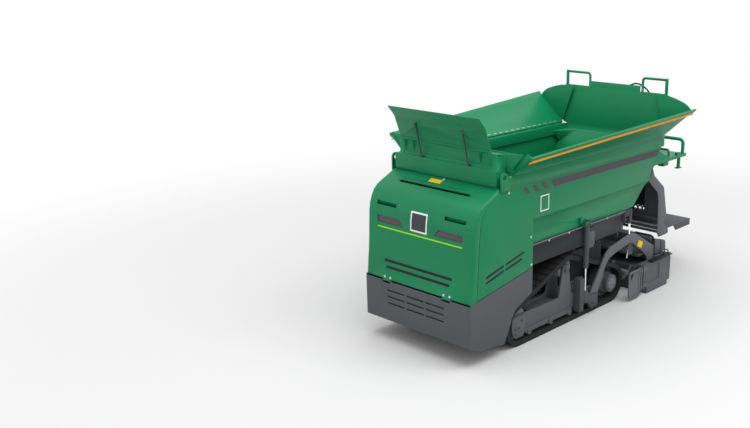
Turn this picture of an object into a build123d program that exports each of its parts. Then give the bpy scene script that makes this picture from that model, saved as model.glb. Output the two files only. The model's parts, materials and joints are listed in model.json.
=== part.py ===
from build123d import *
import math
import os

# A small tracked asphalt paver, in millimetres. +X is the way it drives, +Y its left side, +Z up.
# The origin is on the ground, under the middle of the machine.
# A place along the machine is given as its station: the distance behind the foremost face.

os.makedirs("parts", exist_ok=True)

# Overall
platform_front = 2500.0
platform_length = 420.0
overall_length = platform_front + platform_length
body_width = 980.0
sheet = 5.0
seat_gap = 0.3
running_gap = 6.0

half_width = body_width / 2
front_x = overall_length / 2

# Front skirt
skirt_front_top = 440.0
skirt_rear_top = 542.0
skirt_rear = 640.0
skirt_sheet = 6.0
corner_radius = 20.0
louvre_length = 161.0
louvre_height = 14.0
louvre_pitch_across = 183.0
louvre_heights = (374.0, 328.0, 282.0)

# Hood
hood_gap = 4.0
hood_sheet = 4.0
hood_hinge_station = 14.0
hood_hinge_height = skirt_front_top - 4.0
hood_knuckle_radius = 7.0
hood_pin_radius = 4.0
hood_knuckle_inner = 248.0
hood_knuckle_outer = 312.0
hood_notch_gap = 8.0
lamp_low = 830.0
lamp_high = 877.0
lamp_frame = 6.0
grip_inner = 222.0
grip_outer = 408.0
grip_low = 948.0
grip_high = 974.0
hood_slots = ((312.0, 575.0), (292.0, 530.0))
hood_slot_half = 6.0

# Hopper
floor_height = 700.0
panel_inset = 25.0
crease_top = 884.0
crease_bottom = 849.0
side_top = 1130.0
sill_top = 1208.0
sill_width = 30.0
sill_front = 345.0
sill_rear = 2310.0
front_wall_station = 400.0
front_wall_top = 1366.0
cross_member_top = 1262.0
front_wall_reach = 95.0
rear_wall_top = 1540.0
rear_wall_sheet = 6.0
rear_bend_height = 1172.0
corner_plate_reach = 190.0
drop_station = 1790.0

# Lifting lugs
lug_station = 322.0
lug_rise = 13.0
lug_height = sill_top + lug_rise
lug_bore = 15.0
lug_radius = 32.0
lug_sheet = 12.0

# Wings
wing_hinge_rise = 14.0
wing_hinge_height = sill_top + wing_hinge_rise
wing_slope = 42.0
wing_front_width = 205.0
wing_rear_width = 352.0
wing_front = 412.0
wing_rear = 2298.0
wing_sheet = 5.0
wing_rim = 34.0
wing_rim_thickness = 14.0
hinge_pin_radius = 8.0

# Front flap
flap_half_width = 409.0
flap_hinge_station = 296.0
flap_hinge_rise = 12.0
flap_hinge_height = front_wall_top + flap_hinge_rise
flap_lower_run = 59.0
flap_lower_rise = 154.0
flap_upper_run = 60.0
flap_upper_rise = 72.0
flap_sheet = 5.0
stay_y = 212.0
stay_share = 0.72
stay_standoff = 10.0

# Tracks
track_outer_face = half_width - 16.0
track_width = 186.0
belt_thickness = 38.0
belt_pad_count = 48
belt_groove_width = 8.0
belt_groove_depth = 7.0
idler_station = 537.0
idler_radius = 150.0
top_wheel_station = 1086.0
top_wheel_height = 408.0
top_wheel_radius = 110.0
sprocket_station = 1645.0
sprocket_radius = 156.0
hub_flange_radius = 82.0
hub_barrel_radius = 63.0
hub_cap_radius = 69.0
roller_radius = 46.0
roller_stations = (650.0, 896.0, 1120.0, 1345.0)

# Tow arms, their sliders and cylinders
tow_pin_station = 1365.0
tow_pin_height = 92.0
tow_pin_radius = 16.0
arm_inner = half_width - 10.0
arm_sheet = 15.0
slider_sheet = 13.0
tow_travel = 50.0
tow_barrel_station = 1256.0
tow_barrel_y = half_width + 10.0
tow_barrel_radius = 20.0
tow_rod_radius = 7.0
tow_barrel_low = 385.0
tow_barrel_high = floor_height
tow_eye_height = floor_height + 22.0

# Lift cylinders
lift_station = 1900.0
lift_barrel_radius = 17.0
lift_y = arm_inner - running_gap - lift_barrel_radius
lift_rod_radius = 7.5
lift_eye_height = 345.0
lift_barrel_low = floor_height - 110.0
lift_barrel_high = floor_height - 3.0
lift_rod_top = floor_height - 98.0

# Screed
screed_front = 1992.0
screed_rear = 2240.0
screed_half_width = arm_inner - seat_gap
screed_low = 4.0
screed_box_top = 200.0
cover_front = 2200.0
cover_rear = 2296.0
cover_top = 382.0
extension_rear = 2362.0
extension_top = 237.0
gate_inner = half_width + 86.0
gate_outer = half_width + 100.0

# Auger
auger_station = 1902.0
auger_height = 170.0
auger_radius = 75.0
auger_shaft_radius = 20.0
auger_half_length = arm_inner - 25.0
auger_pitch = 150.0
auger_bare = 62.0
flight_sheet = 5.0
flight_steps = 16

# Rear posts, guard and beams
post_outer = half_width - 30.0
post_sheet = 8.0
post_flange = 30.0
guard_sheet = 4.0
guard_hole_radius = 13.5
guard_hole_sides = 8
guard_hole_pitch = 41.0
guard_row_pitch = 33.0
guard_station = 2345.0
guard_bottom = 524.0
guard_bend = 765.0
beam_front = 2312.0
beam_rear = 2342.0

# Console
console_low = 978.0
console_high = 1003.0
console_rear = 2750.0
console_sheet = 8.0
console_crest = 1112.0
bow_radius = 14.0
bow_half = post_outer - post_sheet - 16.0
bow_rise = 123.0
small_bow_inner = 230.0
small_bow_rise = 71.0
small_bow_radius = 9.0
control_box_half = 150.0

# Platform
platform_height = 398.0
platform_sheet = 6.0
platform_slant_start = 140.0
platform_slant = 40.0
platform_half_width = post_outer - 26.0
platform_flange = 55.0
platform_pin_height = 378.0
platform_pin_radius = 8.0


def x_at(station):
    """X of a place given by its distance behind the foremost face."""
    return front_x - station


def block(station_a, station_b, y_low, y_high, z_low, z_high):
    """A box between two stations, two widths and two heights."""
    middle = Pos((x_at(station_a) + x_at(station_b)) / 2, (y_low + y_high) / 2, (z_low + z_high) / 2)
    return middle * Box(station_b - station_a, y_high - y_low, z_high - z_low)


def side_face(points, y):
    """A face in the plane of the side view, from (station, height) points."""
    outline = [(x_at(station), height) for station, height in points]
    plane = Plane(origin=(0, y, 0), x_dir=(1, 0, 0), z_dir=(0, -1, 0))
    return plane * make_face(Polyline(*outline, close=True))


def side_prism(points, y_low, y_high):
    """A solid with a side-view outline, between two widths."""
    return extrude(side_face(points, y_low), amount=y_high - y_low, dir=(0, 1, 0))


def cross_prism(points, station_a, station_b):
    """A solid with an outline of (width, height) points, between two stations."""
    plane = Plane(origin=(x_at(station_b), 0, 0), x_dir=(0, 1, 0), z_dir=(1, 0, 0))
    face = plane * make_face(Polyline(*points, close=True))
    return extrude(face, amount=station_b - station_a, dir=(1, 0, 0))


def rod_y(station, height, radius, y_low, y_high):
    """A round bar across the machine."""
    return Pos(x_at(station), (y_low + y_high) / 2, height) * Rot(90, 0, 0) * Cylinder(radius, y_high - y_low)


def rod_x(station_a, station_b, y, height, radius):
    """A round bar along the machine."""
    middle = Pos((x_at(station_a) + x_at(station_b)) / 2, y, height)
    return middle * Rot(0, 90, 0) * Cylinder(radius, station_b - station_a)


def rod_z(station, y, radius, z_low, z_high):
    """An upright round bar."""
    return Pos(x_at(station), y, (z_low + z_high) / 2) * Cylinder(radius, z_high - z_low)


def both_sides(solid):
    """A left solid and its mirror image on the right."""
    return solid + mirror(solid, about=Plane.XZ)


def on_right(solid):
    """The mirror image of a left solid."""
    return mirror(solid, about=Plane.XZ)


def station_on(line, height):
    """The station at a height, on a line of (station, height) points."""
    for (station_a, height_a), (station_b, height_b) in zip(line, line[1:]):
        if min(height_a, height_b) <= height <= max(height_a, height_b):
            return station_a + (station_b - station_a) * (height - height_a) / (height_b - height_a)
    return line[-1][0]


def soften(solid, line, half, radius):
    """Rounds a solid's edges that run along a side-view line at both sides."""
    places = {(round(x_at(station), 2), round(height, 2)) for station, height in line}
    chosen = []
    for edge in solid.edges():
        ends = (edge @ 0, edge @ 1)
        on_line = all((round(end.X, 2), round(end.Z, 2)) in places for end in ends)
        at_side = abs(abs(ends[0].Y) - half) < 0.01 and abs(ends[0].Y - ends[1].Y) < 0.01
        if on_line and at_side:
            chosen.append(edge)
    return fillet(chosen, radius)


parts = {}

# Front skirt: a steel wrap round the nose, with three rows of louvres
skirt_outline = [
    (0, skirt_front_top), (0, 152), (101, 100), (302, 85), (348, 77), (382, 145), (426, 239),
    (465, 291), (560, 332), (skirt_rear, 366), (skirt_rear, skirt_rear_top),
]
skirt = side_prism(skirt_outline, -half_width, half_width)
skirt = soften(skirt, skirt_outline[:2], half_width, corner_radius)
skirt_inside = half_width - skirt_sheet
hollow = [(skirt_sheet, 600), (skirt_sheet, 0), (700, 0), (700, 600)]
skirt -= soften(side_prism(hollow, -skirt_inside, skirt_inside), hollow[:2], skirt_inside,
                corner_radius - skirt_sheet)
for height in louvre_heights:
    for column in (-1, 0, 1):
        middle = column * louvre_pitch_across
        skirt -= block(-5, 20, middle - louvre_length / 2, middle + louvre_length / 2,
                       height - louvre_height / 2, height + louvre_height / 2)
lip_cut = [(-5, skirt_front_top - 1.5), (0, skirt_front_top - 1.5), (skirt_sheet, skirt_front_top - 4.5),
           (skirt_sheet + 6, skirt_front_top - 4.5), (skirt_sheet + 9, skirt_front_top + 5),
           (-5, skirt_front_top + 5)]
skirt -= side_prism(lip_cut, -half_width, half_width)

# Pins and ears of the hood's hinge, in two notches of the skirt's upper edge
notch_low = hood_knuckle_inner - hood_notch_gap
notch_high = hood_knuckle_outer + hood_notch_gap
notch_bottom = hood_hinge_height - 16
ear_outline = [(skirt_sheet - 1, notch_bottom), (hood_hinge_station + 7, notch_bottom),
               (hood_hinge_station + 7, hood_hinge_height + 3),
               (hood_hinge_station - 4, hood_hinge_height + 3),
               (hood_hinge_station - 6, hood_hinge_height - 4), (skirt_sheet - 1, hood_hinge_height - 6)]
notch = block(-5, skirt_sheet + 5, notch_low, notch_high, notch_bottom, skirt_front_top + 5)
hinge_seat = side_prism(ear_outline, notch_low - 4, notch_low + 4)
hinge_seat += side_prism(ear_outline, notch_high - 4, notch_high + 4)
hinge_seat += rod_y(hood_hinge_station, hood_hinge_height, hood_pin_radius, notch_low, notch_high)
skirt -= both_sides(notch)
skirt += both_sides(hinge_seat)
parts["front_skirt"] = skirt

# Hood: one envelope, split by the seam into the lid in front and the side panels
hood_profile = [
    (14, 443), (36, 668), (47, 890), (56, 945), (74, 995), (97, 1036), (128, 1065), (180, 1092),
    (238, 1118), (296, 1148),
]
seam = [(66, 452), (69, 466), (85, 730), (101, 915), (118, 993), (155, 1045), (238, 1096), (300, 1118)]
hood_outer = hood_profile + seam[::-1]
hood_lid = soften(side_prism(hood_outer, -half_width, half_width), hood_profile, half_width, corner_radius)
hood_inside = [(station + hood_sheet, height - 1) for station, height in hood_profile[:3]]
hood_inside += [(station + hood_sheet * 0.8, height - hood_sheet * 0.7)
                for station, height in hood_profile[3:]]
hood_inside[0] = (hood_profile[0][0] + hood_sheet, 430)
hood_inner_half = half_width - hood_sheet
hollow = side_prism(hood_inside + [(340, 1144), (340, 430)], -hood_inner_half, hood_inner_half)
hood_lid -= soften(hollow, hood_inside, hood_inner_half, corner_radius - hood_sheet)
for slot_half, slot_height in hood_slots:
    hood_lid -= block(10, 60, -slot_half, slot_half, slot_height - hood_slot_half,
                      slot_height + hood_slot_half)
hood_lid -= both_sides(block(45, 115, grip_inner, grip_outer, grip_low, grip_high))
hood_lid -= block(186, 206, -320, 320, 1080, 1125)
lamp_outline = [(141, lamp_low), (388, lamp_low), (398, lamp_high), (182, lamp_high)]
hood_lid -= both_sides(cross_prism(lamp_outline, 25, 80))
knuckle = rod_y(hood_hinge_station, hood_hinge_height, hood_knuckle_radius, hood_knuckle_inner,
                hood_knuckle_outer)
knuckle += block(hood_hinge_station, hood_hinge_station + hood_sheet, hood_knuckle_inner, hood_knuckle_outer,
                 hood_hinge_height, hood_profile[0][1] + 3)
knuckle -= rod_y(hood_hinge_station, hood_hinge_height, hood_pin_radius + seat_gap, 0, half_width)
hood_lid += both_sides(knuckle)
parts["hood_front"] = hood_lid

# Head lamps: lenses seated behind the openings of the lid
lens_low = lamp_low - lamp_frame
lens_high = lamp_high + lamp_frame
lens_line = [lens_low, lens_high]
lens_front = [(station_on(hood_inside, height) + seat_gap + 0.1, height) for height in lens_line]
lens = side_prism(lens_front + [(64, lens_high), (64, lens_low)], 0, half_width)
lens &= cross_prism([(128, lens_low), (396, lens_low), (406, lens_high), (174, lens_high)], 30, 80)
parts["head_lamps"] = both_sides(lens)

# Hopper: two pressed side panels, cut along the hood's seam in front and sloped behind
rear_sheet_line = [(2316, rear_wall_top), (2300, rear_bend_height), (2148, 1002), (2085, 856),
                   (1922, floor_height + 4)]
rear_edge = [(station_on(rear_sheet_line, side_top) + 6, side_top), (2154, 1002), (2091, 856),
             (1928, floor_height + 6), (1796, floor_height)]
seam_behind = [(station + hood_gap, height) for station, height in seam[1:-1]]
panel_front = [(73, 470)] + seam_behind[1:] + [(304, 1118), (316, side_top)]
lower_slope = (skirt_rear_top - skirt_front_top) / skirt_rear
panel_outline = panel_front + [(skirt_rear, side_top), (skirt_rear, skirt_rear_top + hood_gap)]
panel_outline += [(73, skirt_front_top + hood_gap + 73 * lower_slope)]
front_panel = side_prism(panel_outline, half_width - sheet, half_width)
inset = half_width - panel_inset
panel_section = [
    (half_width, side_top), (half_width, crease_top), (inset, crease_bottom), (inset, floor_height),
    (inset - sheet, floor_height), (inset - sheet, crease_bottom + 2), (half_width - sheet, crease_top + 2),
    (half_width - sheet, side_top),
]
rear_panel = cross_prism(panel_section, skirt_rear, 2300)
rear_panel &= side_prism([(skirt_rear, floor_height), (skirt_rear, side_top)] + rear_edge, 0, 600)
joggle = block(skirt_rear - sheet, skirt_rear, inset - sheet, half_width, floor_height, crease_top)
hopper_side = front_panel + rear_panel + joggle
slots = [((157, 585), (333, 626)), ((357, 628), (541, 669)),
         ((157, 549), (332, 591)), ((352, 592), (521, 628))]
for (slot_front, low), (slot_rear, high) in slots:
    slot = [(slot_front, low), (slot_rear, high), (slot_rear, high + 11), (slot_front, low + 11)]
    hopper_side -= side_prism(slot, half_width - 20, half_width + 20)
ear_front = tow_barrel_station - 30
ear_rear = tow_barrel_station + 30
ear = block(ear_front, ear_front + 6, inset - 1, tow_barrel_y + 16, floor_height, tow_eye_height + 20)
ear += block(ear_rear - 6, ear_rear, inset - 1, tow_barrel_y + 16, floor_height, tow_eye_height + 20)
hopper_side += ear - rod_x(ear_front - 5, ear_rear + 5, tow_barrel_y, tow_eye_height, 6 + seat_gap)
parts["hopper_side_left"] = hopper_side
parts["hopper_side_right"] = on_right(hopper_side)

# Sills: the rails along the top of the sides, which carry the wings and the lifting lugs
sill = block(sill_front, sill_rear, half_width - sill_width, half_width, side_top, sill_top)
lug_plate = side_prism([(lug_station - lug_radius, side_top), (lug_station - lug_radius, lug_height),
                        (lug_station + lug_radius, lug_height), (sill_front + 40, side_top + 30),
                        (sill_front + 40, side_top)], half_width, half_width + lug_sheet)
lug_ring = rod_y(lug_station, lug_height, lug_radius, half_width, half_width + lug_sheet)
lug_bore_cut = rod_y(lug_station, lug_height, lug_bore, half_width - 5, half_width + 30)
parts["hopper_sills"] = both_sides(sill + lug_plate + lug_ring - lug_bore_cut)

# The inside of the hopper, which its end walls and floor are cut to
wall_half = inset - sheet - seat_gap
panel_half = half_width - sheet - seat_gap
sill_half = half_width - sill_width - seat_gap
fence_reach = half_width + front_wall_reach
trough_right = [
    (wall_half, floor_height), (wall_half, crease_bottom + 2.5), (panel_half, crease_top + 2.5),
    (panel_half, side_top - seat_gap), (sill_half, side_top - seat_gap), (sill_half, wing_hinge_height + 4),
    (half_width - 12, wing_hinge_height + 8), (fence_reach, front_wall_top), (fence_reach, 1700),
]
trough_outline = trough_right + [(-y, z) for y, z in trough_right[::-1]]


def inside_trough(solid):
    """What of a solid lies between the hopper's sides."""
    return solid & cross_prism(trough_outline, 300, 2400)


# Front wall with the cross member and the raised box that carries the flap
end_plate = block(front_wall_station, front_wall_station + sheet, -700, 700, floor_height, front_wall_top)
cross_member = block(288, 380, -sill_half, sill_half, 1160, cross_member_top)
upper_panel = block(318, 323, -441, 441, cross_member_top, front_wall_top - 6)
cheek = block(320, front_wall_station, 436, 441, cross_member_top, front_wall_top - 16)
apron = side_prism([(318, front_wall_top - 8), (318, front_wall_top - 2),
                    (front_wall_station, front_wall_top - 14),
                    (front_wall_station, front_wall_top - 21)], -441, 441)
pin_seat = flap_hinge_height - hinge_pin_radius - seat_gap
gusset_outline = [(318, pin_seat - 85), (320, pin_seat - 6), (flap_hinge_station - 6, pin_seat)]
gusset = side_prism(gusset_outline, 380, 386) + side_prism(gusset_outline, 300, 306)
front_wall = inside_trough(end_plate) + cross_member + upper_panel + both_sides(cheek + gusset) + apron
front_wall += block(380, front_wall_station, -sill_half, sill_half, 1180, 1186)
parts["hopper_front_wall"] = front_wall

# Rear wall: upright above, sloping in below towards the conveyor's outlet
rear_strip = [(station + rear_wall_sheet * 0.9, height) for station, height in rear_sheet_line]
rear_wall = side_prism(rear_sheet_line + rear_strip[::-1], -half_width - 200, half_width + 200)
rear_right = trough_right[:5] + [
    (sill_half, sill_top + 7), (half_width - 6, sill_top + 7), (half_width + 135, sill_top + 144),
    (half_width + 110, rear_wall_top - 48), (half_width + 10, rear_wall_top - 10),
    (half_width - 20, rear_wall_top + 1),
]
rear_wall &= cross_prism(rear_right + [(-y, z) for y, z in rear_right[::-1]], 1800, 2400)

# Corner plates between the sills and the rear wall
corner_top = rear_bend_height - 4
corner_station = station_on(rear_sheet_line, corner_top)
plan = [(x_at(corner_station - corner_plate_reach), sill_half), (x_at(corner_station), sill_half - 100),
        (x_at(corner_station), sill_half)]
corner_cap = Pos(0, 0, corner_top - 6) * extrude(make_face(Polyline(*plan, close=True)), amount=6)
corner_web = Pos(0, 0, corner_top - 94) * extrude(make_face(Polyline(*plan, close=True)), amount=88)
plan_front = Vector(plan[0][0], plan[0][1], corner_top - 6)
plan_inner = Vector(plan[1][0], plan[1][1], corner_top - 6)
web_foot = Vector(x_at(corner_station - 64), sill_half - 18, corner_top - 94)
web_normal = (plan_inner - plan_front).cross(web_foot - plan_front).normalized()
if web_normal.dot(Vector(plan[2][0], plan[2][1], corner_top - 6) - plan_front) < 0:
    web_normal = -web_normal
corner_web = split(corner_web, bisect_by=Plane(origin=plan_front, z_dir=web_normal), keep=Keep.TOP)
before_wall = rear_sheet_line[1:4] + [(1900, 856), (1900, rear_bend_height)]
corner_web &= side_prism(before_wall, 0, half_width)
corner_cap &= side_prism(before_wall, 0, half_width)
rear_wall += both_sides(corner_cap + corner_web)
parts["hopper_rear_wall"] = rear_wall

# Floor with its side chutes and the deflector
floor_front = front_wall_station + sheet + seat_gap
floor_plate = block(floor_front, drop_station, -wall_half, wall_half, floor_height, floor_height + 6)
parts["hopper_floor"] = floor_plate

# Conveyor: slats on the floor, with the drive shaft at the outlet
conveyor = rod_y(1850, 700, 40, -150, 150)
for index in range(13):
    station = 440 + index * 110
    conveyor += block(station, station + 20, -150, 150, floor_height + 6.3, floor_height + 20)
conveyor += both_sides(block(430, 1850, 150, 165, floor_height + 6.3, floor_height + 26))
parts["conveyor"] = conveyor

# Dark side panels under the hopper, with a sloped lip along the top and a cover over the hoses
panel_low = 545.0
side_panel = side_prism([(skirt_rear + 6, floor_height - 0.5), (1800, floor_height - 0.5), (1758, panel_low),
                         (skirt_rear + 6, panel_low)], inset - 6, inset)
lip = [(inset - 1, floor_height - 0.5), (inset + 9, floor_height - 10), (inset + 9, floor_height - 22),
       (inset - 1, floor_height - 22)]
side_panel += cross_prism(lip, skirt_rear + 6, 1795)
side_panel += block(skirt_rear + 6, 1795, inset - 30, inset - 3, floor_height - 6, floor_height - 0.5)
cover_outer = tow_barrel_y - tow_barrel_radius - 2
side_panel += block(1262, 1382, inset - 1, cover_outer, 510, 665)
parts["side_panels"] = both_sides(side_panel)

# Main frame
frame = both_sides(block(340, 1800, 240, 270, 190, 420))
frame += block(skirt_sheet, corner_radius + 2, -skirt_inside + 16, skirt_inside - 16, 182, 190)
frame += block(corner_radius + 1, 345, -skirt_inside, skirt_inside, 182, 190)
frame += block(335, 1760, -250, 250, 190, 198)
for station in (660, 1200, 1730):
    frame += block(station, station + 12, -270, 270, 190, 500)
for station in (800, 1280):
    frame += both_sides(rod_y(station, 240, 34, 240, 300))
parts["main_frame"] = frame

# Body carrier: the cross plates and rails between the main frame and the hopper
carrier = Part()
for station in (660, 1200, 1730):
    carrier += block(station, station + 12, -inset + 31, inset - 31, 500, floor_height - 6.5)
carrier += both_sides(block(640, 1800, inset - 31, inset - 6.3, 545, 575))
carrier += both_sides(block(640, 652, 250, inset - 6.3, 500, 575)
                      + block(1730, 1742, 250, inset - 6.3, 500, 575))
carrier += both_sides(block(1730, 1980, 258, 270, 560, floor_height - 6.5))
carrier += block(1968, 1980, -270, 270, 560, floor_height - 6.5)
carrier += block(1860, 1970, -262, 262, floor_height - 60, floor_height - 54)
bracket_rear = 1809.0
carrier += both_sides(block(1788, bracket_rear, inset - 31, inset - 8, 545, floor_height - 100))
carrier += both_sides(block(1801, bracket_rear, inset - 31, inset + 14, floor_height - 100, floor_height - 8))
parts["body_carrier"] = carrier

# Power pack: the heavy block under the hood
pack = block(75, 330, -420, 420, 190, 900) + block(320, 385, -420, 420, 430, 900)
pack += block(380, 630, -420, 420, 430, floor_height - 10)
parts["power_pack"] = pack


# Tracks: one belt round the idler, the top wheel and the sprocket
def belt_face(inset_by):
    """The loop round the three wheels, drawn in from the belt's outer face."""
    wheels = [
        (idler_station, idler_radius, idler_radius),
        (top_wheel_station, top_wheel_height, top_wheel_radius),
        (sprocket_station, sprocket_radius, sprocket_radius),
    ]
    edges = []
    for station, height, radius in wheels:
        circle = Pos(x_at(station), height) * Circle(radius - inset_by)
        edges += circle.edges()
    return make_hull(edges)


belt = belt_face(0) - belt_face(belt_thickness)
rim = belt_face(0).wire()
for index in range(belt_pad_count):
    place = (index + 0.5) / belt_pad_count
    point = rim.position_at(place)
    way = rim.tangent_at(place)
    turn = math.degrees(math.atan2(way.Y, way.X))
    belt -= Pos(point.X, point.Y) * Rot(0, 0, turn) * Rectangle(belt_groove_width, 2 * belt_groove_depth)
side_plane = Plane(origin=(0, track_outer_face - track_width, 0), x_dir=(1, 0, 0), z_dir=(0, -1, 0))
track = extrude(side_plane * belt, amount=track_width, dir=(0, 1, 0))
parts["track_left"] = track
parts["track_right"] = on_right(track)

# Track frames, rollers, idlers and final drives
frame_outer_face = track_outer_face - 21
belt_inset = belt_thickness
frame_outline = [
    (460, 90), (455, 200), (475, 215), (1000, 209), (1050, 440), (1110, 440), (1150, 209),
    (1400, 200), (1440, 120), (1400, 90), (1345, 60), (1300, 90), (1160, 90), (1120, 60), (1080, 90),
    (940, 90), (896, 60), (850, 90), (700, 90), (650, 60), (600, 90),
]
frame_side = side_prism(frame_outline, frame_outer_face - 15, frame_outer_face)
frame_side += side_prism(frame_outline, 320, 335)
frame_side += block(700, 1000, 334, frame_outer_face - 14, 110, 190)
frame_side -= rod_y(idler_station, idler_radius, 30, 300, 470)
frame_side += block(760, 840, 300.3, 322, 200, 280) + block(1240, 1320, 300.3, 322, 150, 280)
parts["track_frame_left"] = frame_side
parts["track_frame_right"] = on_right(frame_side)

rollers = rod_y(idler_station, idler_radius, idler_radius - belt_inset - seat_gap, 345, 430)
rollers += rod_y(idler_station, idler_radius, 29, 300, 465)
rollers += rod_y(top_wheel_station, top_wheel_height, top_wheel_radius - belt_inset - seat_gap, 345, 430)
parts["rollers_left"] = rollers
parts["rollers_right"] = on_right(rollers)

drive = rod_y(sprocket_station, sprocket_radius, sprocket_radius - belt_inset - seat_gap, 340, 400)
drive += rod_y(sprocket_station, sprocket_radius, hub_flange_radius, 270.3, 432)
drive += rod_y(sprocket_station, sprocket_radius, hub_barrel_radius, 430, track_outer_face - 12)
drive += rod_y(sprocket_station, sprocket_radius, hub_cap_radius, track_outer_face - 14, track_outer_face + 4)
drive += rod_y(sprocket_station, sprocket_radius, hub_cap_radius - 22, track_outer_face + 3,
               track_outer_face + 8)
parts["final_drive_left"] = drive
parts["final_drive_right"] = on_right(drive)


# Wings: hinged along the sills, flared outward, higher at the back
slope = math.radians(wing_slope)
wing_plane = Plane(origin=(0, half_width, wing_hinge_height), x_dir=(1, 0, 0),
                   z_dir=(0, -math.sin(slope), math.cos(slope)))
wing_sheet_rear = wing_rear - 5
width_growth = (wing_rear_width - wing_front_width) / (wing_rear - wing_front)


def wing_width(station):
    """The wing's width up its slope."""
    return wing_front_width + width_growth * (station - wing_front)


def wing_strip(lower_edge, thickness):
    """A strip of the wing from a distance below its tip edge up to that edge."""
    corners = []
    for station in (wing_front, wing_sheet_rear):
        corners.append((station, wing_width(station)))
    low = [(station, rise - lower_edge if lower_edge else 0) for station, rise in corners[::-1]]
    outline = [(x_at(station), rise) for station, rise in corners + low]
    face = wing_plane * make_face(Polyline(*outline, close=True))
    return extrude(face, amount=thickness, dir=-wing_plane.z_dir)


def wing_point(station, rise):
    """Width and height of a point on the wing's inner face."""
    return (half_width + rise * math.cos(slope), wing_hinge_height + rise * math.sin(slope))


wing = wing_strip(0, wing_sheet) + wing_strip(wing_rim, wing_rim_thickness)
wing += rod_x(wing_front + 20, wing_sheet_rear - 20, half_width, wing_hinge_height, hinge_pin_radius)
tip_y, tip_z = wing_point(wing_rear, wing_width(wing_rear) - 45)
foot_y, foot_z = wing_point(wing_rear, 14)
wing += cross_prism([(foot_y, foot_z), (tip_y, tip_z), (tip_y - 3, tip_z + 17), (tip_y - 28, tip_z + 41),
                     (tip_y - 63, tip_z + 64), (tip_y - 142, tip_z + 91), (tip_y - 210, tip_z + 106),
                     (tip_y - 290, tip_z + 108), (tip_y - 328, tip_z + 95), (foot_y - 14, foot_z + 8)],
                    wing_sheet_rear - 5, wing_sheet_rear)
tip_y, tip_z = wing_point(wing_front, wing_width(wing_front) - 1)
wing += cross_prism([(foot_y, foot_z), (tip_y, tip_z), (tip_y - 34, tip_z + 14), (foot_y, foot_z + 58)],
                    wing_front, wing_front + 5)
parts["wing_left"] = wing
parts["wing_right"] = on_right(wing)

# Hinge rail on the sills
seat_top = wing_hinge_height - hinge_pin_radius - seat_gap
parts["hopper_sills"] += both_sides(block(wing_front + 18, wing_sheet_rear - 18, half_width - 20, half_width,
                                          sill_top, seat_top))

# Front flap: two flat panels with a bend between them, on a pin
flap_bend_station = flap_hinge_station - flap_lower_run
flap_bend_height = flap_hinge_height + flap_lower_rise
flap_line = [(flap_hinge_station, flap_hinge_height), (flap_bend_station, flap_bend_height),
             (flap_bend_station - flap_upper_run, flap_bend_height + flap_upper_rise)]
flap_back = [(station + flap_sheet, height + 2) for station, height in flap_line]
flap = side_prism(flap_line + flap_back[::-1], -flap_half_width, flap_half_width)
flap += rod_y(flap_hinge_station, flap_hinge_height, hinge_pin_radius, -flap_half_width, flap_half_width)
stay_top = (flap_hinge_station - stay_share * flap_lower_run - stay_standoff,
            flap_hinge_height + stay_share * flap_lower_rise)
stay_foot = (300.0, cross_member_top)
flap += both_sides(block(stay_top[0] - 8, stay_top[0] + stay_standoff + 3, stay_y + 7, stay_y + 11,
                         stay_top[1] - 10, stay_top[1] + 10))
parts["front_flap"] = flap

# Stays of the flap, footed on the cross member
foot_point = Vector(x_at(stay_foot[0]), stay_y, stay_foot[1] + 4)
top_point = Vector(x_at(stay_top[0]), stay_y, stay_top[1])
stay_way = (top_point - foot_point).normalized()
stay_middle = (foot_point + top_point) / 2
stay = Plane(origin=stay_middle, z_dir=stay_way) * Cylinder(5, (top_point - foot_point).length)
stay += rod_y(stay_top[0], stay_top[1], 9, stay_y - 6, stay_y + 6.7)
stay += block(stay_foot[0] - 12, stay_foot[0] + 12, stay_y - 12, stay_y + 12, stay_foot[1], stay_foot[1] + 12)
parts["flap_stays"] = both_sides(stay)

# Handles behind the rear wall
handle_station = 2336.0
handle_inner = 253.0
handle_outer = 474.0
handle_top = 1646.0
handle_bar = 12.5
bow_points = [(handle_inner, 1490.0), (handle_inner, handle_top), (handle_outer, handle_top)]


def bow(station, points, radius, bend):
    """A bent round bar in a plane across the machine, through (width, height) points."""
    path = FilletPolyline(*[(x_at(station), y, z) for y, z in points], radius=bend)
    return sweep(Plane(origin=path @ 0, z_dir=path % 0) * Circle(radius), path=path)


handle = bow(handle_station, bow_points, 10, 25)
handle += block(2321.8, handle_station, handle_inner - 8, handle_inner + 8, 1494, 1532)
handle += block(2321.8, 2330, handle_outer - handle_bar, handle_outer + handle_bar, 1494, handle_top + 12)
parts["rear_handles"] = both_sides(handle)

# Rear posts: bent flanged bars, which hang from the console's brackets and carry the platform
post_rear = [(2209, 961), (2240, 897), (2400, 774), (2461, 540), (2372, 395)]
post_front = [(2332, 395), (2322, 681), (2301, 748), (2155, 866)]
post_inner = post_outer - post_sheet
post = side_prism(post_rear + post_front, post_inner, post_outer)
post_edge = post_rear[1:4]
edge_back = [(2240 - 8, 897 - 7), (2400 - 10, 774 - 4), (2461 - 9, 540 + 2)]
post += side_prism(post_edge + edge_back[::-1], post_inner - post_flange, post_inner)
hanger = [(2350, 480), (2425, 480), (2518, 392), (2518, 362), (2490, 356), (2372, 356), (2350, 395)]
hanger_plate = side_prism(hanger, post_inner - 8, post_inner)
hanger_plate -= rod_y(platform_front, platform_pin_height, platform_pin_radius + seat_gap, 400, 480)
parts["rear_posts"] = both_sides(post + hanger_plate)

# Guard between the posts: a perforated sheet, upright below and leaning forward above
guard_half = post_inner - seat_gap
guard_columns = int((2 * guard_half - 60) / guard_hole_pitch)
lean_way = Vector(x_at(2205) - x_at(guard_station), 0, 877 - guard_bend)


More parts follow.
